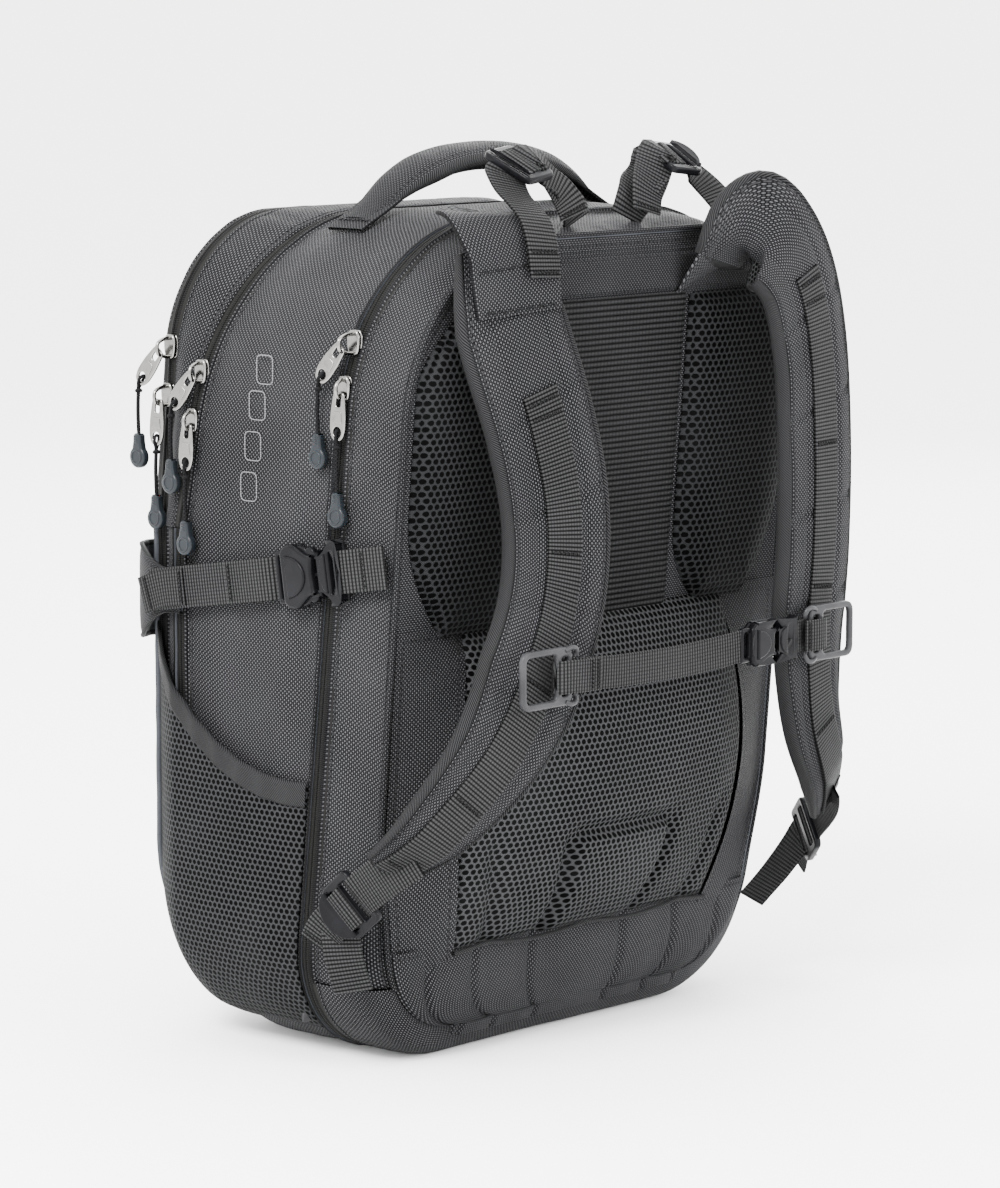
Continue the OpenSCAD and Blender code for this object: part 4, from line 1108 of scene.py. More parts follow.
def make_strap(tag, route, body):
    path = smooth(route, 12)
    path = resample(path, step=3.0)
    n = len(path)
    out = np.array([math.copysign(0.15, route[0][0]), -1, 0])
    t, u, v = frames(path, out)
    f = np.linspace(0, 1, n)
    half = strap_width(f) / 2
    thick = 7.0 * np.minimum(1, 0.45 + np.minimum(np.arange(n), n - 1 - np.arange(n)) * 3.0 / 60)
    # section: outer cloth, bound edge, inner mesh, bound edge
    sec = [(-0.90, 0.55, 0)]
    sec += [(x, 0.62 + 0.38 * (1 - abs(x) ** 3.2), 0) for x in np.linspace(-0.86, 0.86, 19)]
    sec += [(0.90, 0.55, 0), (0.905, 0.62, 1), (0.955, 0.66, 1), (1.0, 0.42, 1), (1.015, 0.0, 1),
            (1.0, -0.42, 1), (0.955, -0.66, 1), (0.905, -0.62, 1), (0.90, -0.55, 2)]
    sec += [(x, -0.62 - 0.38 * (1 - abs(x) ** 3.0), 2) for x in np.linspace(0.86, -0.86, 15)]
    sec += [(-0.90, -0.55, 2), (-0.905, -0.62, 1), (-0.955, -0.66, 1), (-1.0, -0.42, 1), (-1.015, 0, 1),
            (-1.0, 0.42, 1), (-0.955, 0.66, 1), (-0.905, 0.62, 1), (-0.90, 0.55, 1)]
    a = np.array([s[0] for s in sec])
    b = np.array([s[1] for s in sec])
    kind = np.array([s[2] for s in sec])
    A = half[:, None] * a[None, :]
    B = thick[:, None] * b[None, :]
    # sewn channels across the outer face, and lines beside the webbing
    along = f * run(path)[-1]
    outer = ((kind == 0) & (np.abs(a) < 0.88))[None, :]
    for at in (34, 92, 150, 212, 268):
        slant = at + 0.22 * A
        B = B - np.where(outer, 1.5 * groove(along[:, None] - slant, 2.6), 0)
    B = B - np.where(outer, 1.2 * groove(np.abs(A) - 17.5, 2.2), 0)
    P = path[:, None] + u[:, None] * A[..., None] + v[:, None] * B[..., None]
    lump = soft(P, 32, 21) * 0.9 + soft(P, 14, 22) * 0.22
    P = P + v[:, None] * (lump * np.sign(b)[None, :] * (np.abs(a) < 0.95)[None, :])[..., None]
    across = np.r_[0, np.cumsum(np.hypot(np.diff(a) * half.mean(), np.diff(b) * 7))]
    uv = spread(along, across)
    d = np.where(np.abs(a) < 0.9, (0.9 - np.abs(a)) * 38 + 2.2, 30.0)
    seam = spread(along, np.where(kind == 1, 30.0, d))
    which = np.maximum(kind[:-1], kind[1:])
    which = np.where((kind[:-1] != kind[1:]), 1, which)
    flip = turned(P, 10, v[0])
    o = grid(f"shoulder_strap_{tag}_cloth", P, body, ["nylon", "binding", "strap_mesh"],
             uv=uv, seam=seam, which=which, flip=flip)
    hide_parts(f"shoulder_strap_{tag}")
    for e, end in ((0, "top"), (-1, "low")):
        c = path[e] + t[e] * (-3.0 if e == 0 else 3.0)
        f2 = np.linspace(1, 0, 6)
        dome = t[e] * ((1 if e else -1) * 2.0 * np.sqrt(1 - f2 ** 2))[None, :, None]
        E = c + (P[e] - c)[:, None, :] * f2[None, :, None] + dome
        grid(f"shoulder_strap_{tag}_{end}", E, body, ["binding"], flip=flip == (e == 0))
    # webbing down the middle
    k0 = int(0.21 * n) if tag == "left" else int(0.17 * n)
    mid = path[k0:] + v[k0:] * (thick[k0:] + 0.9)[:, None]
    ribbon(f"strap_web_{tag}", mid, WEB_W, 1.7, out, body, node=f"strap_webbing_{tag}", wave=0.0,
           tacks=(0.015, 0.05, 0.30, 0.55, 0.80, 0.97))
    return path, t, u, v, thick


LOCKS = {"left": (-187, -80, 106), "right": (200, -100, 98)}
ANCHORS = {"left": (-179, -74, 54), "right": (179, -74, 54)}


def rounded(points, r, n=5):
    """A polygon's corners rounded. r is one radius or one for each corner."""
    p = [np.array(q, float) for q in points]
    out = []
    for i, b in enumerate(p):
        a, c = p[i - 1], p[(i + 1) % len(p)]
        rr = r if np.isscalar(r) else r[i]
        ab, cb = a - b, c - b
        la, lc = np.linalg.norm(ab), np.linalg.norm(cb)
        k = min(rr, la * 0.48, lc * 0.48)
        if k < 0.05:
            out.append(b)
            continue
        s, e = b + ab / la * k, b + cb / lc * k
        for q in range(n + 1):
            w = q / n
            out.append((1 - w) ** 2 * s + 2 * w * (1 - w) * b + w * w * e)
    return out


class Spot:
    """A place with three axes of its own."""

    def __init__(self, at, ex, ey, ez):
        self.at, self.ex, self.ey, self.ez = (np.asarray(q, float) for q in (at, ex, ey, ez))

    def point(self, x, y, z=0.0):
        return self.at + self.ex * x + self.ey * y + self.ez * z

    def up(self, z):
        return Spot(self.at + self.ez * z, self.ex, self.ey, self.ez)


def plate(name, outlines, thick, bevel, spot, body, mat, bow=0.0, segs=3):
    """A moulded plate: outlines (first the edge, then holes) in its own X and Y, bevelled, set at a spot.
    bow lifts its middle along X."""
    c = bpy.data.curves.new(name, "CURVE")
    c.dimensions = "2D"
    c.fill_mode = "BOTH"
    c.extrude = max(0.01, thick / 2 - bevel)
    c.bevel_depth = bevel
    c.bevel_resolution = segs
    for k, pts in enumerate(outlines):
        pts = [np.asarray(q, float) for q in pts]
        area = sum(pts[i - 1][0] * pts[i][1] - pts[i][0] * pts[i - 1][1] for i in range(len(pts)))
        s = c.splines.new("POLY")
        s.points.add(len(pts) - 1)
        for i, q in enumerate(pts):
            n = pts[(i + 1) % len(pts)] - pts[i - 1]
            l = np.linalg.norm(n) or 1
            inward = np.array([-n[1], n[0]]) / l * (1 if area > 0 else -1)
            q = q + inward * bevel * (1 if k == 0 else -1)
            s.points[i].co = (q[0], q[1], 0, 1)
        s.use_cyclic_u = True
    tmp = bpy.data.objects.new(name + "_curve", c)
    bpy.context.scene.collection.objects.link(tmp)
    dg = bpy.context.evaluated_depsgraph_get()
    mesh = bpy.data.meshes.new_from_object(tmp.evaluated_get(dg))
    mesh.name = name
    bpy.data.objects.remove(tmp)
    bpy.data.curves.remove(c)
    co = np.zeros(len(mesh.vertices) * 3)
    mesh.vertices.foreach_get("co", co)
    co = co.reshape(-1, 3)
    edge = np.array(list(outlines[0]), float)
    co[:, :2] = np.clip(co[:, :2], edge.min(0), edge.max(0))
    rx = np.abs(co[:, 0]).max() or 1
    z = co[:, 2] + bow * (1 - (co[:, 0] / rx) ** 2)
    w = spot.point(co[:, :1], co[:, 1:2], z[:, None])
    mesh.vertices.foreach_set("co", (w * MM).astype(np.float32).ravel())
    if np.dot(np.cross(spot.ex, spot.ey), spot.ez) < 0:
        mesh.flip_normals()
    mesh.materials.clear()
    mesh.update()
    o = new_object(name, mesh, body, [mat])
    mesh.set_sharp_from_angle(angle=math.radians(38))
    if not mesh.uv_layers:
        mesh.uv_layers.new(name="UVMap")
    lu = np.zeros(len(mesh.loops), np.int32)
    mesh.loops.foreach_get("vertex_index", lu)
    mesh.uv_layers[0].data.foreach_set("uv", (co[lu][:, :2] * MM).astype(np.float32).ravel())
    return o


def box(x0, x1, y0, y1):
    return [(x0, y0), (x1, y0), (x1, y1), (x0, y1)]


def axes(d, n):
    y = np.asarray(d, float) / np.linalg.norm(d)
    x = np.cross(y, n)
    x /= np.linalg.norm(x)
    return x, y, np.cross(x, y)


def make_ladder_lock(name, at, d, n, body, tab=-1, reach=9.5):
    """A ladder lock: a bowed frame with two slots and a thumb tab at one end."""
    x, y, z = axes(d, n)
    edge = rounded(box(-18, 18, -13, 13), 5)
    holes = [rounded(box(-13, 13, -9.6, -4.2), 1.2), rounded(box(-13, 13, 2.0, 8.6), 1.2)]
    o = plate(name, [edge] + holes, 4.4, 1.2, Spot(at, x, y, z), body, "plastic", bow=0.8)
    tab_pts = [(-15, 0), (15, 0)]
    tab_pts += [(15.5 * math.cos(a), reach * math.sin(a)) for a in np.linspace(0.12, math.pi - 0.12, 18)]
    tab_pts = [(px, (py + 9.5) * tab) for px, py in tab_pts]
    if tab < 0:
        tab_pts = tab_pts[::-1]
    z2 = z * 0.94 + y * tab * 0.34
    y2 = y * 0.94 + z * tab * 0.34
    plate(name + "_tab", [tab_pts], 2.6, 0.9,
          Spot(np.asarray(at) + z * 0.6, x, y2 / np.linalg.norm(y2), z2 / np.linalg.norm(z2)), body,
          "plastic", bow=1.2)
    bar = np.array([np.asarray(at) + x * a + y * -0.8 + z * 0.6 for a in np.linspace(-14, 14, 8)])
    tube(name + "_bar", bar, 1.9, body,
         "plastic", 12, z)
    return o


def make_harness():
    for tag, route in (("left", ROUTE_L), ("right", ROUTE_R)):
        body = f"strap_{tag}"
        path, t, u, v, thick = make_strap(tag, route, body)
        at, anchor = np.array(LOCKS[tag], float), np.array(ANCHORS[tag], float)
        end = path[-1]
        n = np.array([at[0], -60, -10], float)
        d = end - at
        x, y, z = axes(d, n)
        o = make_ladder_lock(f"lower_lock_{tag}", at, d, n, f"lower_lock_{tag}")
        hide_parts(f"lower_ladder_lock_{tag}")
        # web from the strap's end round the lock's upper bar, and the web below it, sewn into the corner
        ribbon(f"strap_end_web_{tag}",
               [end - t[-1] * 18 + v[-1] * 5, end + t[-1] * 2 + v[-1] * 3.5,
                at + y * 14 + z * 2.2, at + y * 9 + z * 1.6, at + y * 4 - z * 1.5],
               WEB_W, 1.7, n, body, n=6)
        o = ribbon(f"anchor_web_{tag}",
                   [at + y * 1.5 + z * 3.0, at - y * 3 + z * 3.4, at - y * 8 - z * 0.4,
                    at - y * 15 - z * 1.2, (at - y * 20 + anchor) / 2 + z * 1.0, anchor + (0, 1, -2)],
                   WEB_W, 1.7, n, "laptop_compartment", n=6, node="strap_anchor_webs")
        ribbon(f"anchor_tail_{tag}", [at + y * 1.0 + z * 2.0, at - y * 4 + z * 4.6, at - y * 12 + z * 3.4,
                                      at - y * 26 + z * 2.6, at - y * 36 + z * 2.4 + (0, 0, -5)], TAIL_W,
               1.5, n, "laptop_compartment", n=6, tacks=(0.93,))
    yoke = [(-111, -140.5, 444), (-112, -139, 460), (-113, -136.5, 474), (-114, -132, 486),
            (-113, -124, 496), (-110, -115, 499), (-106, -107, 494), (-103, -102, 483)]
    ribbon("strap_yoke_left", yoke, (60, 62, 63, 62, 60, 58, 56, 54), 3.2, (-0.15, -0.5, 1), "strap_left",
           "nylon", n=6, tacks=(0.03, 0.30))
    yoke = [(84, -112.5, 458), (84, -119, 459.5), (84.5, -124.5, 463), (86, -128.8, 470)]
    ribbon("strap_yoke_right", yoke, (66, 66, 62, 58), 2.2, (0.15, -1, -0.2), "strap_right",
           "nylon", n=6)
    # load lifters
    for s, tag in SIDES:
        body = f"lifter_{tag}"
        at = np.array([s * 67, -99, 525.5])
        d = np.array([s * 1, -0.1, -0.12])
        n = np.array([0, -0.5, 1.0])
        x, y, z = axes(d, n)
        o = make_ladder_lock(f"lifter_lock_{tag}", at, d, n, body, tab=1, reach=4.5)
        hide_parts(f"load_lifter_{tag}")
        ribbon(f"lifter_web_{tag}", [(s * 22, -103, 492), (s * 26, -104, 500), (s * 36, -101, 510),
                                     (s * 47, -99, 517.5), at - y * 15 - z * 1.6, at - y * 12.6 + z * 2.6,
                                     at - y * 9.5 + z * 2.2, at - y * 8 - z * 1.6], 25, 1.7,
               [(0, -1, 0.1), (0, -1, 0.5), (0, -0.5, 1), (0, -0.5, 1), (0, -0.5, 1)], body, n=5)
        ribbon(f"lifter_front_web_{tag}",
               [at - y * 6 - z * 0.5, at - y * 1 + z * 3.2, at + y * 4 + z * 1.2, at + y * 11 - z * 3.4]
               + ([(-82, -103, 518), (-86, -112, 510.5),
                   (-89, -124, 503.5), (-91, -134.5, 495), (-93, -141.5, 481.5), (-94, -145, 464)]
                  if s < 0 else [(84, -101, 517), (90, -109, 508), (93, -119, 498),
                                 (95, -128, 489.5), (97, -135, 487)]), WEB_W, 1.7,
               [(0, -0.5, 1), (0, -0.6, 1), (0, -0.9, 0.8), (0, -1, 0.4), (0, -1, 0.1)], body, n=5,
               tacks=(0.84, 0.96))
        ribbon(f"lifter_tail_{tag}",
               [at - y * 1 + z * 3.0, at - y * 6 + z * 2.2, at - y * 12 + z * 4.8, (s * 46, -103, 518.5),
                (s * 37, -107, 508), (s * 33, -110, 499), (s * 32, -111, 495.5)], TAIL_W, 1.5,
               [(0, -0.5, 1), (0, -0.5, 1), (0, -0.8, 0.8), (0, -1, 0.4), (0, -1, 0.1)], body, n=5,
               tacks=(0.93,))


# ---------------------------------------------------------------- carry handle

def make_handle():
    hy, foot, hl = -4.0, 500.0, 96.0
    route = [[-hl - 8, hy, foot - 8.2], [-hl + 6, hy, foot - 1], [-hl + 30, hy, foot + 12],
             [-hl + 62, hy, 522], [0, hy, 525], [hl - 62, hy, 522], [hl - 30, hy, foot + 12],
             [hl - 6, hy, foot - 1], [hl + 8, hy, foot - 8.2]]
    path = resample(smooth(route, 10), step=2.2)
    n = len(path)
    t, u, v = frames(path, (0, 0, 1))
    i = np.arange(n)
    full = np.clip(np.minimum(i, n - 1 - i) * 2.2 / 62, 0, 1)
    full = ease(full)
    half = 11.5 + 7.5 * full
    thick = 1.6 + 7.2 * full
    sec = [(x, 0.30 + 0.85 * (1 - abs(x) ** 2.4) ** 0.8, 0) for x in np.linspace(-0.93, 0.93, 21)]
    sec += [(0.97, 0.42, 1), (1.05, 0.25, 1), (1.07, 0.0, 1), (1.05, -0.25, 1), (0.97, -0.4, 1)]
    sec += [(x, -0.30 - 0.5 * (1 - abs(x) ** 2.4), 2) for x in np.linspace(0.93, -0.93, 17)]
    sec += [(-0.97, -0.4, 1), (-1.05, -0.25, 1), (-1.07, 0.0, 1), (-1.05, 0.25, 1), (-0.97, 0.42, 1),
            (-0.93, 0.30, 1)]
    a, b, kind = (np.array([s[k] for s in sec]) for k in range(3))
    A, B = half[:, None] * a[None, :], thick[:, None] * b[None, :]
    along = i * 2.2
    P = path[:, None] + u[:, None] * A[..., None] + v[:, None] * B[..., None]
    P = P + v[:, None] * (soft(P, 22, 31) * 0.55 * np.sign(b)[None, :])[..., None]
    across = np.r_[0, np.cumsum(np.hypot(np.diff(a) * 17, np.diff(b) * 7))]
    uv = spread(along, across)
    d = np.where(kind == 1, 30.0, (0.93 - np.abs(a)) * 17 + 2.4)
    seam = spread(along, d)
    which = np.where(kind[:-1] != kind[1:], 1, kind[:-1])
    flip = turned(P, 10, v[0])
    o = grid("handle_cloth", P, "handle", ["nylon_fine", "binding", "mesh"], uv=uv, seam=seam,
             which=which, flip=flip)
    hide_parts("carry_handle")
    for s, tag in SIDES:
        # sewn foot: a flat tab let into the top seam, with a box of stitches
        foot_path = [[s * (hl - 18), hy, foot + 5.5], [s * (hl - 4), hy, foot - 2.0],
                     [s * (hl + 8), hy, foot - 8.0], [s * (hl + 18), hy, foot - 13.4]]
        ribbon(f"handle_foot_{tag}", foot_path, (31, 30, 28), 2.0, (0, 0, 1), "handle",
               "nylon_fine", n=5, tacks=(0.18, 0.82))


# ---------------------------------------------------------------- buckles, compression strap, sternum strap

def make_catch(name, spot, w, l, t, body, node):
    """The female half of a side-release buckle; its mouth is at x 0 and its web bar at x -l."""
    h = w / 2
    side = [(0.0, h * 0.63), (-3.0, h * 0.60), (-6.5, h * 0.64), (-10.5, h * 0.78), (-14.5, h * 0.95),
            (-18.0, h), (-l + 10.5, h - 0.8), (-l + 7, h - 4.0)]
    low = [(x, -y) for x, y in side[::-1]]
    body_line = side + low + [(-1.6, -h * 0.45), (-2.4, 0), (-1.6, h * 0.45)]
    body_line = rounded(body_line, 1.6, 3)
    shell = plate(name, [body_line[::-1]], t * 0.62, 1.8, spot.up(t * 0.17), body, "plastic",
                  segs=4)
    plate(name + "_back", [body_line[::-1]], t * 0.36, 1.2, spot.up(-t * 0.30), body,
          "plastic")
    # raised shield in the middle
    boss = [(-l + 9.0 + (l - 16) * math.cos(q) ** 0.9, h * 0.66 * math.sin(q))
            for q in np.linspace(-1.45, 1.45, 25)]
    plate(name + "_shield", [boss], 2.4, 1.1, spot.up(t * 0.48), body, "plastic", segs=4)
    # web bar
    g = h - 3.2
    outer = rounded(box(-l - 0.2, -l + 10.5, -g, g), 2.2)
    slots = [rounded(box(-l + 2.6, -l + 6.6, -g + 3.0, g - 3.0), 0.9)]
    plate(name + "_loop", [outer] + slots, t * 0.42, 1.4, spot.up(-0.3), body, "plastic")
    tube(name + "_bar", np.array([spot.point(-l + 8.2, y, 0.9) for y in np.linspace(-g + 3, g - 3, 6)]),
         1.5, body, "plastic", 10, spot.ez)
    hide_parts(node)


def make_plug(name, spot, w, t, body, node):
    """The male half: a crescent base with its web slot, two springy arms with buttons, and a middle guide."""
    h = w / 2
    half = [(0.9, h * 0.60), (4.2, h * 0.61), (7.8, h * 0.74), (11.4, h * 0.95), (15.0, h),
            (19.4, h * 0.98), (20.4, h * 0.88), (19.2, h * 0.74), (18.4, h * 0.5)]
    line = half + [(x, -y) for x, y in half[::-1]]
    line = rounded(line, 1.2, 3)
    slot_line = [rounded(box(11.6, 15.0, -h * 0.64, h * 0.64), 0.9)]
    base = plate(name, [line] + slot_line, t * 0.72, 1.3, spot, body, "plastic", segs=4)
    pad = [(10.4 - 6.8 * math.cos(q) ** 0.9, h * 0.60 * math.sin(q)) for q in np.linspace(1.45, -1.45, 21)]
    plate(name + "_pad", [pad], 1.6, 0.7, spot.up(t * 0.36), body, "plastic")
    for s in (1, -1):
        disc = [(-5.2 + 4.3 * math.cos(q), s * h * 0.62 + 4.3 * math.sin(q))
                for q in np.linspace(0, 2 * math.pi, 25)[:-1]]
        plate(f"{name}_button_{'a' if s > 0 else 'b'}", [disc], t * 0.40, 1.1, spot, body,
              "plastic")
        arm = rounded([(1.5, s * (h - 6.4)), (-6, s * (h - 5.6)), (-8, s * (h - 2.8)),
                       (-13, s * (h - 1.3)), (-17.5, s * (h - 2.2)), (-19.5, s * (h - 5.6)),
                       (-17.5, s * (h - 7.6)), (-8, s * (h - 9.2)), (1.5, s * (h - 9.2))], 1.2, 3)
        plate(f"{name}_arm_{'a' if s > 0 else 'b'}", [arm], t * 0.46, 1.1, spot, body,
              "plastic")
    tongue = rounded([(1.5, -1.7), (-14.5, -1.5), (-16.5, 0), (-14.5, 1.5), (1.5, 1.7)], 0.7, 3)
    plate(name + "_guide", [tongue], t * 0.34, 0.7, spot, body, "plastic")
    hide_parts(node)


COMP_AT, COMP_TILT = (182, -50, 294), 9       # the mouth of the compression buckle, and the strap's slope


def comp_mid(y):
    """Height of the compression strap's centre line."""
    return COMP_AT[2] - (np.asarray(y, float) - COMP_AT[1]) * math.tan(math.radians(COMP_TILT))


def make_compression():
    c, s9 = math.cos(math.radians(COMP_TILT)), math.sin(math.radians(COMP_TILT))
    body = "compression_strap"
    for s, tag in SIDES:
        x = s * COMP_AT[0]
        spot = Spot((x, *COMP_AT[1:]), (0, -c, s9), (0, -s * s9, -s * c), (s, 0, 0))
        make_plug(f"compression_plug_{tag}", spot, 38, 11, "laptop_compartment", "compression_male_buckles")
        make_catch(f"compression_catch_{tag}", spot, 38, 34, 11, body, "compression_female_buckles")

        def web(*points):
            return [(x + s * off, y, comp_mid(y)) for off, y in points]

        # tab sewn into the seam behind the buckle, and the web in front of it, both looped on their bars
        ribbon(f"compression_tab_{tag}",
               web((-0.2, -63), (1.6, -66), (1.0, -72), (-2.0, -83), (-4.4, -98)), WEB_W, 1.8, (s, 0, 0),
               "laptop_compartment", n=5, node="compression_rear_tabs", tacks=(0.55,))
        ribbon(f"compression_tab_under_{tag}", web((-0.4, -63.2), (-2.2, -66), (-3.2, -74), (-5.0, -90)),
               WEB_W, 1.6, (s, 0, 0), "laptop_compartment", n=5)
        ribbon(f"compression_web_{tag}",
               web((1.6, -24), (1.4, -22.4), (-0.8, -20.2), (-3.2, -18), (-3.3, -14), (-1.2, -8),
                   (0.6, 6), (0.8, 40), (0.2, 74), (-0.4, 92)), WEB_W, 1.7, (s, 0, 0), body, n=6,
               node="compression_webbing", wave=0.5)
        ribbon(f"compression_fold_{tag}", web((-1.6, -14.6), (0.8, -12), (2.7, -6), (3.2, 8), (2.9, 24)),
               WEB_W, 1.6, (s, 0, 0), body, n=5, tacks=(0.90,))
    # wing: a padded band over the front, wider than the webbing, its edges bound
    side, front, corner = HALF_W + 3.6, FRONT_Y + 12.0, 56.0
    plan = [(-side, 70)] + [(-side, y) for y in (74, front - corner - 2)]
    plan += [(-side + corner + corner * math.cos(a), front - corner + corner * math.sin(a))
             for a in np.radians([165, 150, 135, 120, 105])]
    plan += [(-60, front), (0, front + 1)]
    plan = np.array(plan + [(-x, y) for x, y in plan[-2::-1]], float)
    line = resample(smooth(np.c_[plan, np.zeros(len(plan))], 8), step=3.0)
    t, u, v = frames(line, (0, 0, 1))
    normal = u * (1 if float((u * (line - [0, 20, 0])).sum()) > 0 else -1)
    mid = np.minimum(comp_mid(line[:, 1]), 272)
    mid = np.convolve(np.pad(mid, 6, "edge"), np.ones(13) / 13, "valid")
    f = np.clip((line[:, 1] - 80) / 44, 0, 1)
    tall = (26 + 32 * ease(f)) / 2
    sec = [(x, 0.5 + 1.5 * (1 - abs(x) ** 4), 0) for x in np.linspace(-0.93, 0.93, 25)]
    sec += [(0.94, 1.1, 1), (0.97, 1.7, 1), (1.0, 1.5, 1), (1.02, 0.2, 1), (1.0, -1.2, 1), (0.94, -1.4, 1)]
    sec += [(x, -1.0, 2) for x in np.linspace(0.9, -0.9, 9)]
    sec += [(-0.94, -1.4, 1), (-1.0, -1.2, 1), (-1.02, 0.2, 1), (-1.0, 1.5, 1), (-0.97, 1.7, 1),
            (-0.94, 1.1, 1), (-0.93, 0.5, 1)]
    a, b, kind = (np.array([q[k] for q in sec]) for k in range(3))
    P = line[:, None] + normal[:, None] * b[None, :, None]
    P[..., 2] = mid[:, None] + tall[:, None] * a[None, :]
    P = P + normal[:, None] * (soft(P, 60, 41) * 0.9 * (np.abs(a) < 0.9)[None, :]
                               * (b > 0)[None, :])[..., None]
    along = np.arange(len(line)) * 3.0
    uv = spread(along, (a * 29))
    inner = (0.93 - np.abs(a))[None, :] * tall[:, None] + 2.6
    d = np.where(kind == 1, 30.0, 0)[None, :] + np.where(kind == 1, 0, 1)[None, :] * inner
    seam = np.stack([np.broadcast_to(along[:, None], d.shape), d], -1)
    which = np.where(kind[:-1] != kind[1:], 1, kind[:-1])
    flip = turned(P, 12, normal[0])
    o = grid("compression_wing_cloth", P, body, ["nylon", "binding", "lining"], uv=uv, seam=seam,
             which=which, flip=flip)
    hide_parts("compression_wing")
    for s, tag in SIDES:
        tri = [(s * 183.6, 62, comp_mid(62)), (s * 183.4, 82, comp_mid(82)),
               (s * 182.2, 100, comp_mid(100) - 3)]
        ribbon(f"wing_join_{tag}", tri, 22, 1.2, (s, 0, 0), body, "webbing", n=5,
               tacks=(0.1, 0.88))


CHEST_Z = 240.0      # height of the sternum strap


def make_sternum():
    y0 = -174.0
    for s, x, tag in ((-1, -126, "left"), (1, 129, "right")):
        body = f"sternum_{tag}"
        spot = Spot((x, y0 - 0.6, CHEST_Z), (1, 0, 0), (0, 0, 1), (0, -1, 0))
        ring = rounded(box(-21, 21, -17, 17), 7.0, 7)
        holes = [rounded(box(*sorted((s * 17.2, -s * 8.0)), -13.2, 13.2), 3.6, 6),
                 rounded(box(*sorted((-s * 12.0, -s * 17.2)), -11.2, 11.2), 1.6)]
        o = plate(f"sternum_slide_{tag}", [ring] + holes, 4.0, 1.5, spot, body,
                  "grey_plastic", segs=4)
        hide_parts(f"sternum_slider_{tag}")
        for q, zz in (("up", 1), ("low", -1)):
            bend = ((15, 14.6, 1.2), (19, 16.2, 2.0), (23, 15.6, 1.8), (24.6, 12.6, 1.0), (23.8, 10.6, 0.2))
            hook = np.array([spot.point(-s * px, zz * py, pz) for px, py, pz in bend])
            tube(f"sternum_hook_{tag}_{q}", smooth(hook, 5), 1.5, body, "grey_plastic",
                 10, (0, -1, 0.1))
        bar = np.array([spot.point(-s * 10.0, q, 0.4) for q in np.linspace(-12, 12, 8)])
        tube(f"sternum_pin_{tag}", bar, 1.8, body, "grey_plastic", 10, (0, -1, 0))
    # webs, folded over the pin and sewn back
    ez = (0, -1, 0)
    z = CHEST_Z
    ribbon("sternum_web_left",
           [(-117, -172.0, z), (-110, -171.8, z), (-100, -174.6, z - 0.2), (-86, -176.8, z - 0.8),
            (-60, -176.6, z - 2.0), (-10, -175.4, z - 2.6), (30, -175.4, z - 1.0), (46, -175.3, z)],
           CHEST_W, 1.6, ez, "sternum_catch", n=8, node="sternum_webbing_left", wave=0.4)
    ribbon("sternum_fold_left", [(-117.6, -172.4, z), (-119.8, -175.6, z), (-117, -178.6, z),
                                 (-108, -180.0, z), (-96, -179.9, z - 0.6), (-84, -179.0, z - 0.9)],
           CHEST_W, 1.5, ez, "sternum_catch", n=6, tacks=(0.93, 0.80))
    ribbon("sternum_web_right",
           [(87.4, -175.4, z), (93, -175.6, z), (100, -174.8, z), (110, -172.0, z), (120, -172.0, z)],
           CHEST_W, 1.6, ez, "sternum_right", n=6, node="sternum_webbing_right")
    ribbon("sternum_fold_right",
           [(120.6, -172.4, z), (122.8, -175.6, z), (120, -178.6, z), (111, -179.8, z), (101, -179.0, z)],
           CHEST_W, 1.5, ez, "sternum_right", n=6, tacks=(0.9,))
    spot = Spot((74, y0 - 1.4, CHEST_Z), (1, 0, 0), (0, 0, 1), ez)
    make_catch("sternum_catch", spot, 27, 30, 9, "sternum_catch", "sternum_female_buckle")
    make_plug("sternum_plug", spot, 27, 9, "sternum_right", "sternum_male_buckle")


# ---------------------------------------------------------------- zip sliders and pulls

def arch_x(w, zt, rt, z):
    return w - rt + math.sqrt(rt * rt - max(0.0, z - zt + rt) ** 2)


ZIPS = {"laptop": (1, 175.0, 495.0, 110.0, (426, 400), 175.0),
        "main": (2, 174.0, 494.0, 120.0, (402, 373), 174.5),
        "pocket": (3, 162.0, 494.0, 80.0, (414, 385), 166.2)}
TILTS = (42.0, 4.0)
PULL = 3.9 + 26


def pull_end(k, z, tilt):
    a = math.radians(tilt)
    return float(plane_y(k, z)) + PULL * math.sin(a), z + 1 - PULL * math.cos(a) - 1.5 * math.sin(a)


def each_pull():
    """Every slider: its zip's name and numbers, then height, tilt of its pull, name and short name."""
    for name, (k, w, zt, rt, zs, clear) in ZIPS.items():
        for q, (which, part) in enumerate((("upper", "up"), ("lower", "low"))):
            yield name, k, w, zt, rt, clear, zs[q], TILTS[q], which, part


CORD_L, CORD_R = 31.8, 1.2


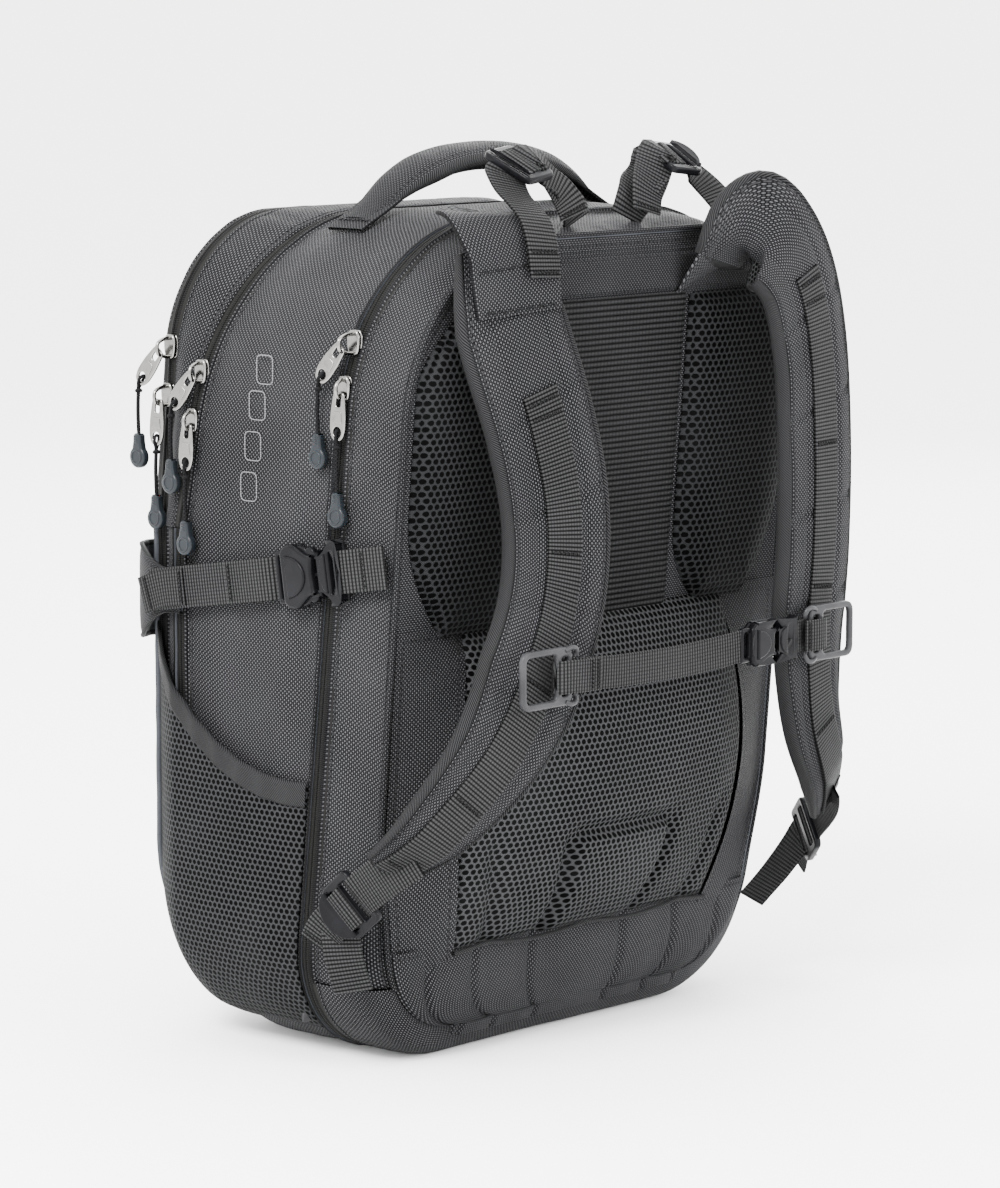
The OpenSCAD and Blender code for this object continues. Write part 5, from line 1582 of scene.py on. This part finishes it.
def make_cords():
    for name, k, w, zt, rt, clear, z, tilt, which, part in each_pull():
        y, top = pull_end(k, z, tilt)
        x = -clear - 4.95
        body = f"{name}_pull_{part}"
        p0 = Vector((x, y, top - 0.2)) * MM
        p1 = Vector((x, y, top - 0.2 - CORD_L)) * MM
        c = bpy.data.curves.new(f"{name}_cord_{which}_line", "CURVE")
        c.dimensions = "3D"
        c.bevel_depth = CORD_R * MM
        c.bevel_resolution = 5
        c.use_fill_caps = True
        s = c.splines.new("POLY")
        s.points.add(8)
        for i in range(9):
            q = p0.lerp(p1, i / 8)
            bend = 0.00035 * math.sin(math.pi * i / 8)
            s.points[i].co = (q.x - bend, q.y + bend, q.z, 1)
        cord = bpy.data.objects.new(f"{name}_pull_cord_{which}", c)
        bpy.context.scene.collection.objects.link(cord)
        c.materials.append(MAT["cord"])
        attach(cord, body)
        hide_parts(f"{name}_cord_{which}")
        # grip: a teardrop with a ring pressed into each face
        at = (x, y, top - 32.2 - 11)
        drop = [(6.6 * math.cos(a), 6.6 * math.sin(a)) for a in np.radians(np.linspace(130, 410, 40))]
        drop = drop + [(3.4, 9.5), (3.2, 14.2), (-3.2, 14.2), (-3.4, 9.5)]
        spot = Spot(at, (0, -1, 0), (0, 0, 1), (-1, 0, 0))
        grip = plate(f"{name}_grip_{which}", [resample(drop, step=0.8, closed=True)], 5.0, 1.5, spot,
                     body, "rubber", segs=5)
        for side, tag in ((1, "out"), (-1, "in")):
            a = np.linspace(0, 2 * math.pi, 33)
            ring = np.array([spot.point(3.9 * math.cos(q), 3.9 * math.sin(q), side * 2.45) for q in a])
            tube(f"{name}_grip_ring_{which}_{tag}", ring, 0.55, body, "rubber", 8, spot.ez)
        for q in range(4):
            zz = 8.6 + q * 1.5
            a = np.linspace(0, 2 * math.pi, 21)
            ring = np.array([spot.point(3.0 * math.cos(b), zz, 2.55 * math.sin(b)) for b in a])
            tube(f"{name}_grip_rib_{which}_{q}", ring, 0.42, body, "rubber", 6, (0, 0, 1))


def make_pulls():
    for name, k, w, zt, rt, clear, z, tilt, which, part in each_pull():
        base = arch_x(w, zt, rt, z - 6) + 0.5
        y = float(plane_y(k, z))
        ex, ey, ez = np.array([0, -1.0, 0]), np.array([0, 0, 1.0]), np.array([-1.0, 0, 0])
        spot = Spot((-base - 1.1, y, z + 1), ex, ey, ez)
        body = f"{name}_slider_{part}"
        line = rounded([(-3.4, -6.6), (3.4, -6.6), (4.6, -2), (4.9, 4), (3.2, 7.6), (-3.2, 7.6),
                        (-4.9, 4), (-4.6, -2)], 2.2, 5)
        o = plate(f"{name}_zip_slider_{which}", [line], 2.6, 1.1, spot, body, "nickel", segs=4)
        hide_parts(f"{name}_slider_{which}")
        plate(f"{name}_zip_slider_base_{which}", [line], 1.6, 0.7, spot.up(-2.2), body, "nickel")
        reach = clear + 4.2 - base
        bail = np.array([(-base - 1.2, y, z + 6.4), (-base - reach * 0.6 - 1.5, y, z + 6.2),
                         (-base - reach - 2.9, y, z + 4.2), (-base - reach - 3.9, y, z + 1),
                         (-base - reach - 2.9, y, z - 2.4), (-base - reach * 0.6 - 1.5, y, z - 4.2),
                         (-base - 1.2, y, z - 4.4)])
        tube(f"{name}_bail_{which}", smooth(bail, 6), 1.15, body, "nickel", 12, (0, 1, 0))
        # tab, its upper end looped through the bail
        a = math.radians(tilt)
        d = np.array([0, math.sin(a), -math.cos(a)])
        hinge = np.array([-clear - 4.2, y, z + 1])
        body = f"{name}_pull_{part}"
        x = np.cross(d, ez)
        tab = [(-4.1, 1.4), (4.1, 1.4), (4.9, 6), (6.0, 14), (6.0, 23.5), (3.6, 29.6), (-3.6, 29.6),
               (-6.0, 23.5), (-6.0, 14), (-4.9, 6)]
        tab = rounded(tab, [2.4, 2.4, 6, 6, 5, 4, 4, 5, 6, 6], 5)
        eye = rounded(box(-1.9, 1.9, 3.4, 10.0), 1.6)
        low = [(3.0 * math.cos(b), 24.4 + 3.0 * math.sin(b)) for b in np.linspace(0, 2 * math.pi, 25)[:-1]]
        o = plate(f"{name}_tab_{which}", [tab, eye, low], 1.7, 0.75, Spot(hinge + ez * 0.75, x, d, ez),
                  body, "nickel", segs=4)
        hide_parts(f"{name}_pull_{which}")
        panel = rounded([(-2.9, 12.4), (2.9, 12.4), (3.9, 19.4), (-3.9, 19.4)], 1.0, 3)
        plate(f"{name}_tab_panel_{which}", [panel], 0.9, 0.4, Spot(hinge + ez * 1.55, x, d, ez), body,
              "nickel")
        # loop of cord through the lower hole
        e_y, e_z = pull_end(k, z, tilt)
        c = hinge + d * 25.8
        knot = np.array([(-clear - 4.95, e_y, e_z - 2.2),
                         (-clear - 6.4, *(c[1:] * 0.5 + np.array([e_y, e_z]) * 0.5)),
                         (-clear - 6.4, *(hinge + d * 24.6)[1:]), (-clear - 4.9, *(hinge + d * 23.4)[1:]),
                         (-clear - 3.3, *(hinge + d * 24.6)[1:]),
                         (-clear - 3.4, *(c[1:] * 0.5 + np.array([e_y, e_z]) * 0.5)),
                         (-clear - 4.95, e_y, e_z - 2.2)])
        tube(f"{name}_cord_loop_{which}", smooth(knot, 5), 0.95, body, "cord", 8, (0, 1, 0.2))
        knot = np.array([(-clear - 4.95 + 1.35 * math.cos(q), e_y + 1.35 * math.sin(q),
                          e_z - 3.2 + 0.35 * math.sin(2 * q)) for q in np.linspace(0, 2 * math.pi, 21)])
        tube(f"{name}_cord_knot_{which}", knot, 1.05, body, "cord", 8, (0, 0, 1))


# ---------------------------------------------------------------- inner parts and small details

def pillow(name, ring, k, d0, d1, body, mat, node, channels=0):
    """A flat padded panel from an outline in (x, z), between two distances from plane k."""
    ring = resample(ring, n=220, closed=True)
    c = np.array([0, (ring[:, 1].max() + ring[:, 1].min()) / 2])
    m = 44 if channels else 12
    f = np.r_[np.linspace(0.0, 0.9, m), 0.95, 0.98, 1.0, 1.0, 0.98, 0.95, np.linspace(0.9, 0.0, m)]
    s = np.r_[np.ones(m), 0.95, 0.75, 0.4, -0.4, -0.75, -0.95, -np.ones(m)]
    mid, half = (d0 + d1) / 2, (d1 - d0) / 2
    xz = c + (ring - c)[:, None, :] * f[None, :, None]
    y = plane_y(k, xz[..., 1]) + mid + s[None, :] * half
    P = np.stack([xz[..., 0], y, xz[..., 1]], -1)
    if channels:
        dip = np.exp(-(((P[..., 0] + 400) % channels - channels / 2) / 3.0) ** 2)
        P[..., 1] -= s[None, :] * 0.8 * dip * (np.abs(s)[None, :] > 0.9)
    P[..., 1] += s[None, :] * soft(P, 60, 51) * 0.5
    d = np.linalg.norm(ring - c, axis=1).mean() * (1 - f)
    seam = spread(np.arange(len(ring)) * 3.0, d)
    o = grid(name, P, body, [mat], closed=True, uv=P[..., [0, 2]], seam=seam)
    o.data.validate()
    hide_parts(node)
    return o


def make_inside():
    pillow("laptop_divider", loop_up(HALF_W - 15, BAG_H - 56, 60, 21, 160), 1, 10.3, 15.7, "pack",
           "foam_lining", "laptop_sleeve", channels=40)
    pillow("organiser_divider", loop_up(HALF_W - 5, BAG_H - 5, ARCH_R + 7, FOLD_Z + 7, 160), 2, 1.1, 2.9,
           "organiser", "lining", "organiser_panel")
    up = loop_up(HALF_W - 14.5, BAG_H - 22.5, 84, 96, 160)
    foot = [(foot_w(z) - 7.0, z) for z in np.linspace(90, 62, 8)]
    left = [(-x, z) for x, z in foot[::-1]]
    ring = np.vstack([up, foot, left] if up[-1][0] > 0 else [up, left[::-1], foot[::-1]])
    pillow("frame_sheet_back", ring, 0, 2.4, 4.7, "laptop_compartment", "sheet",
           "back_frame_sheet")


def surface_x(name, y, z, side=-1):
    """How far out a cloth surface reaches at (y, z), in mm."""
    o = bpy.data.objects[name]
    n = len(o.data.vertices)
    co = np.zeros(n * 3)
    o.data.vertices.foreach_get("co", co)
    co = co.reshape(-1, 3) / MM
    co = co[co[:, 0] * side > 0]
    d = (co[:, 1] - y) ** 2 + (co[:, 2] - z) ** 2
    near = np.argsort(d)[:6]
    return float(co[near, 0].mean())


def make_details():
    # four plain rounded outlines printed on the side
    for q, (y, z) in enumerate(((1, 408), (6, 387), (10, 363), (14, 339))):
        line = rounded(box(-6.6, 6.6, -8.4, 8.4), 3.6, 6)
        pts = np.array([(0, y + a, z + b) for a, b in line] + [(0, y + line[0][0], z + line[0][1])])
        x = min(surface_x("main_gusset", y, z + dz) for dz in (-6, 0, 6))
        pts[:, 0] = x - 0.25
        tube(f"side_mark_{q + 1}", pts, 0.34, "pack", "mark", 8, (-1, 0, 0))


# ---------------------------------------------------------------- the whole object

make_camera()
make_materials()
make_cords()
make_stage()
make_shells()
make_zips()
make_piping()
make_side_pockets()
make_pads()
make_harness()
make_handle()
make_compression()
make_sternum()
make_pulls()
make_inside()
make_details()
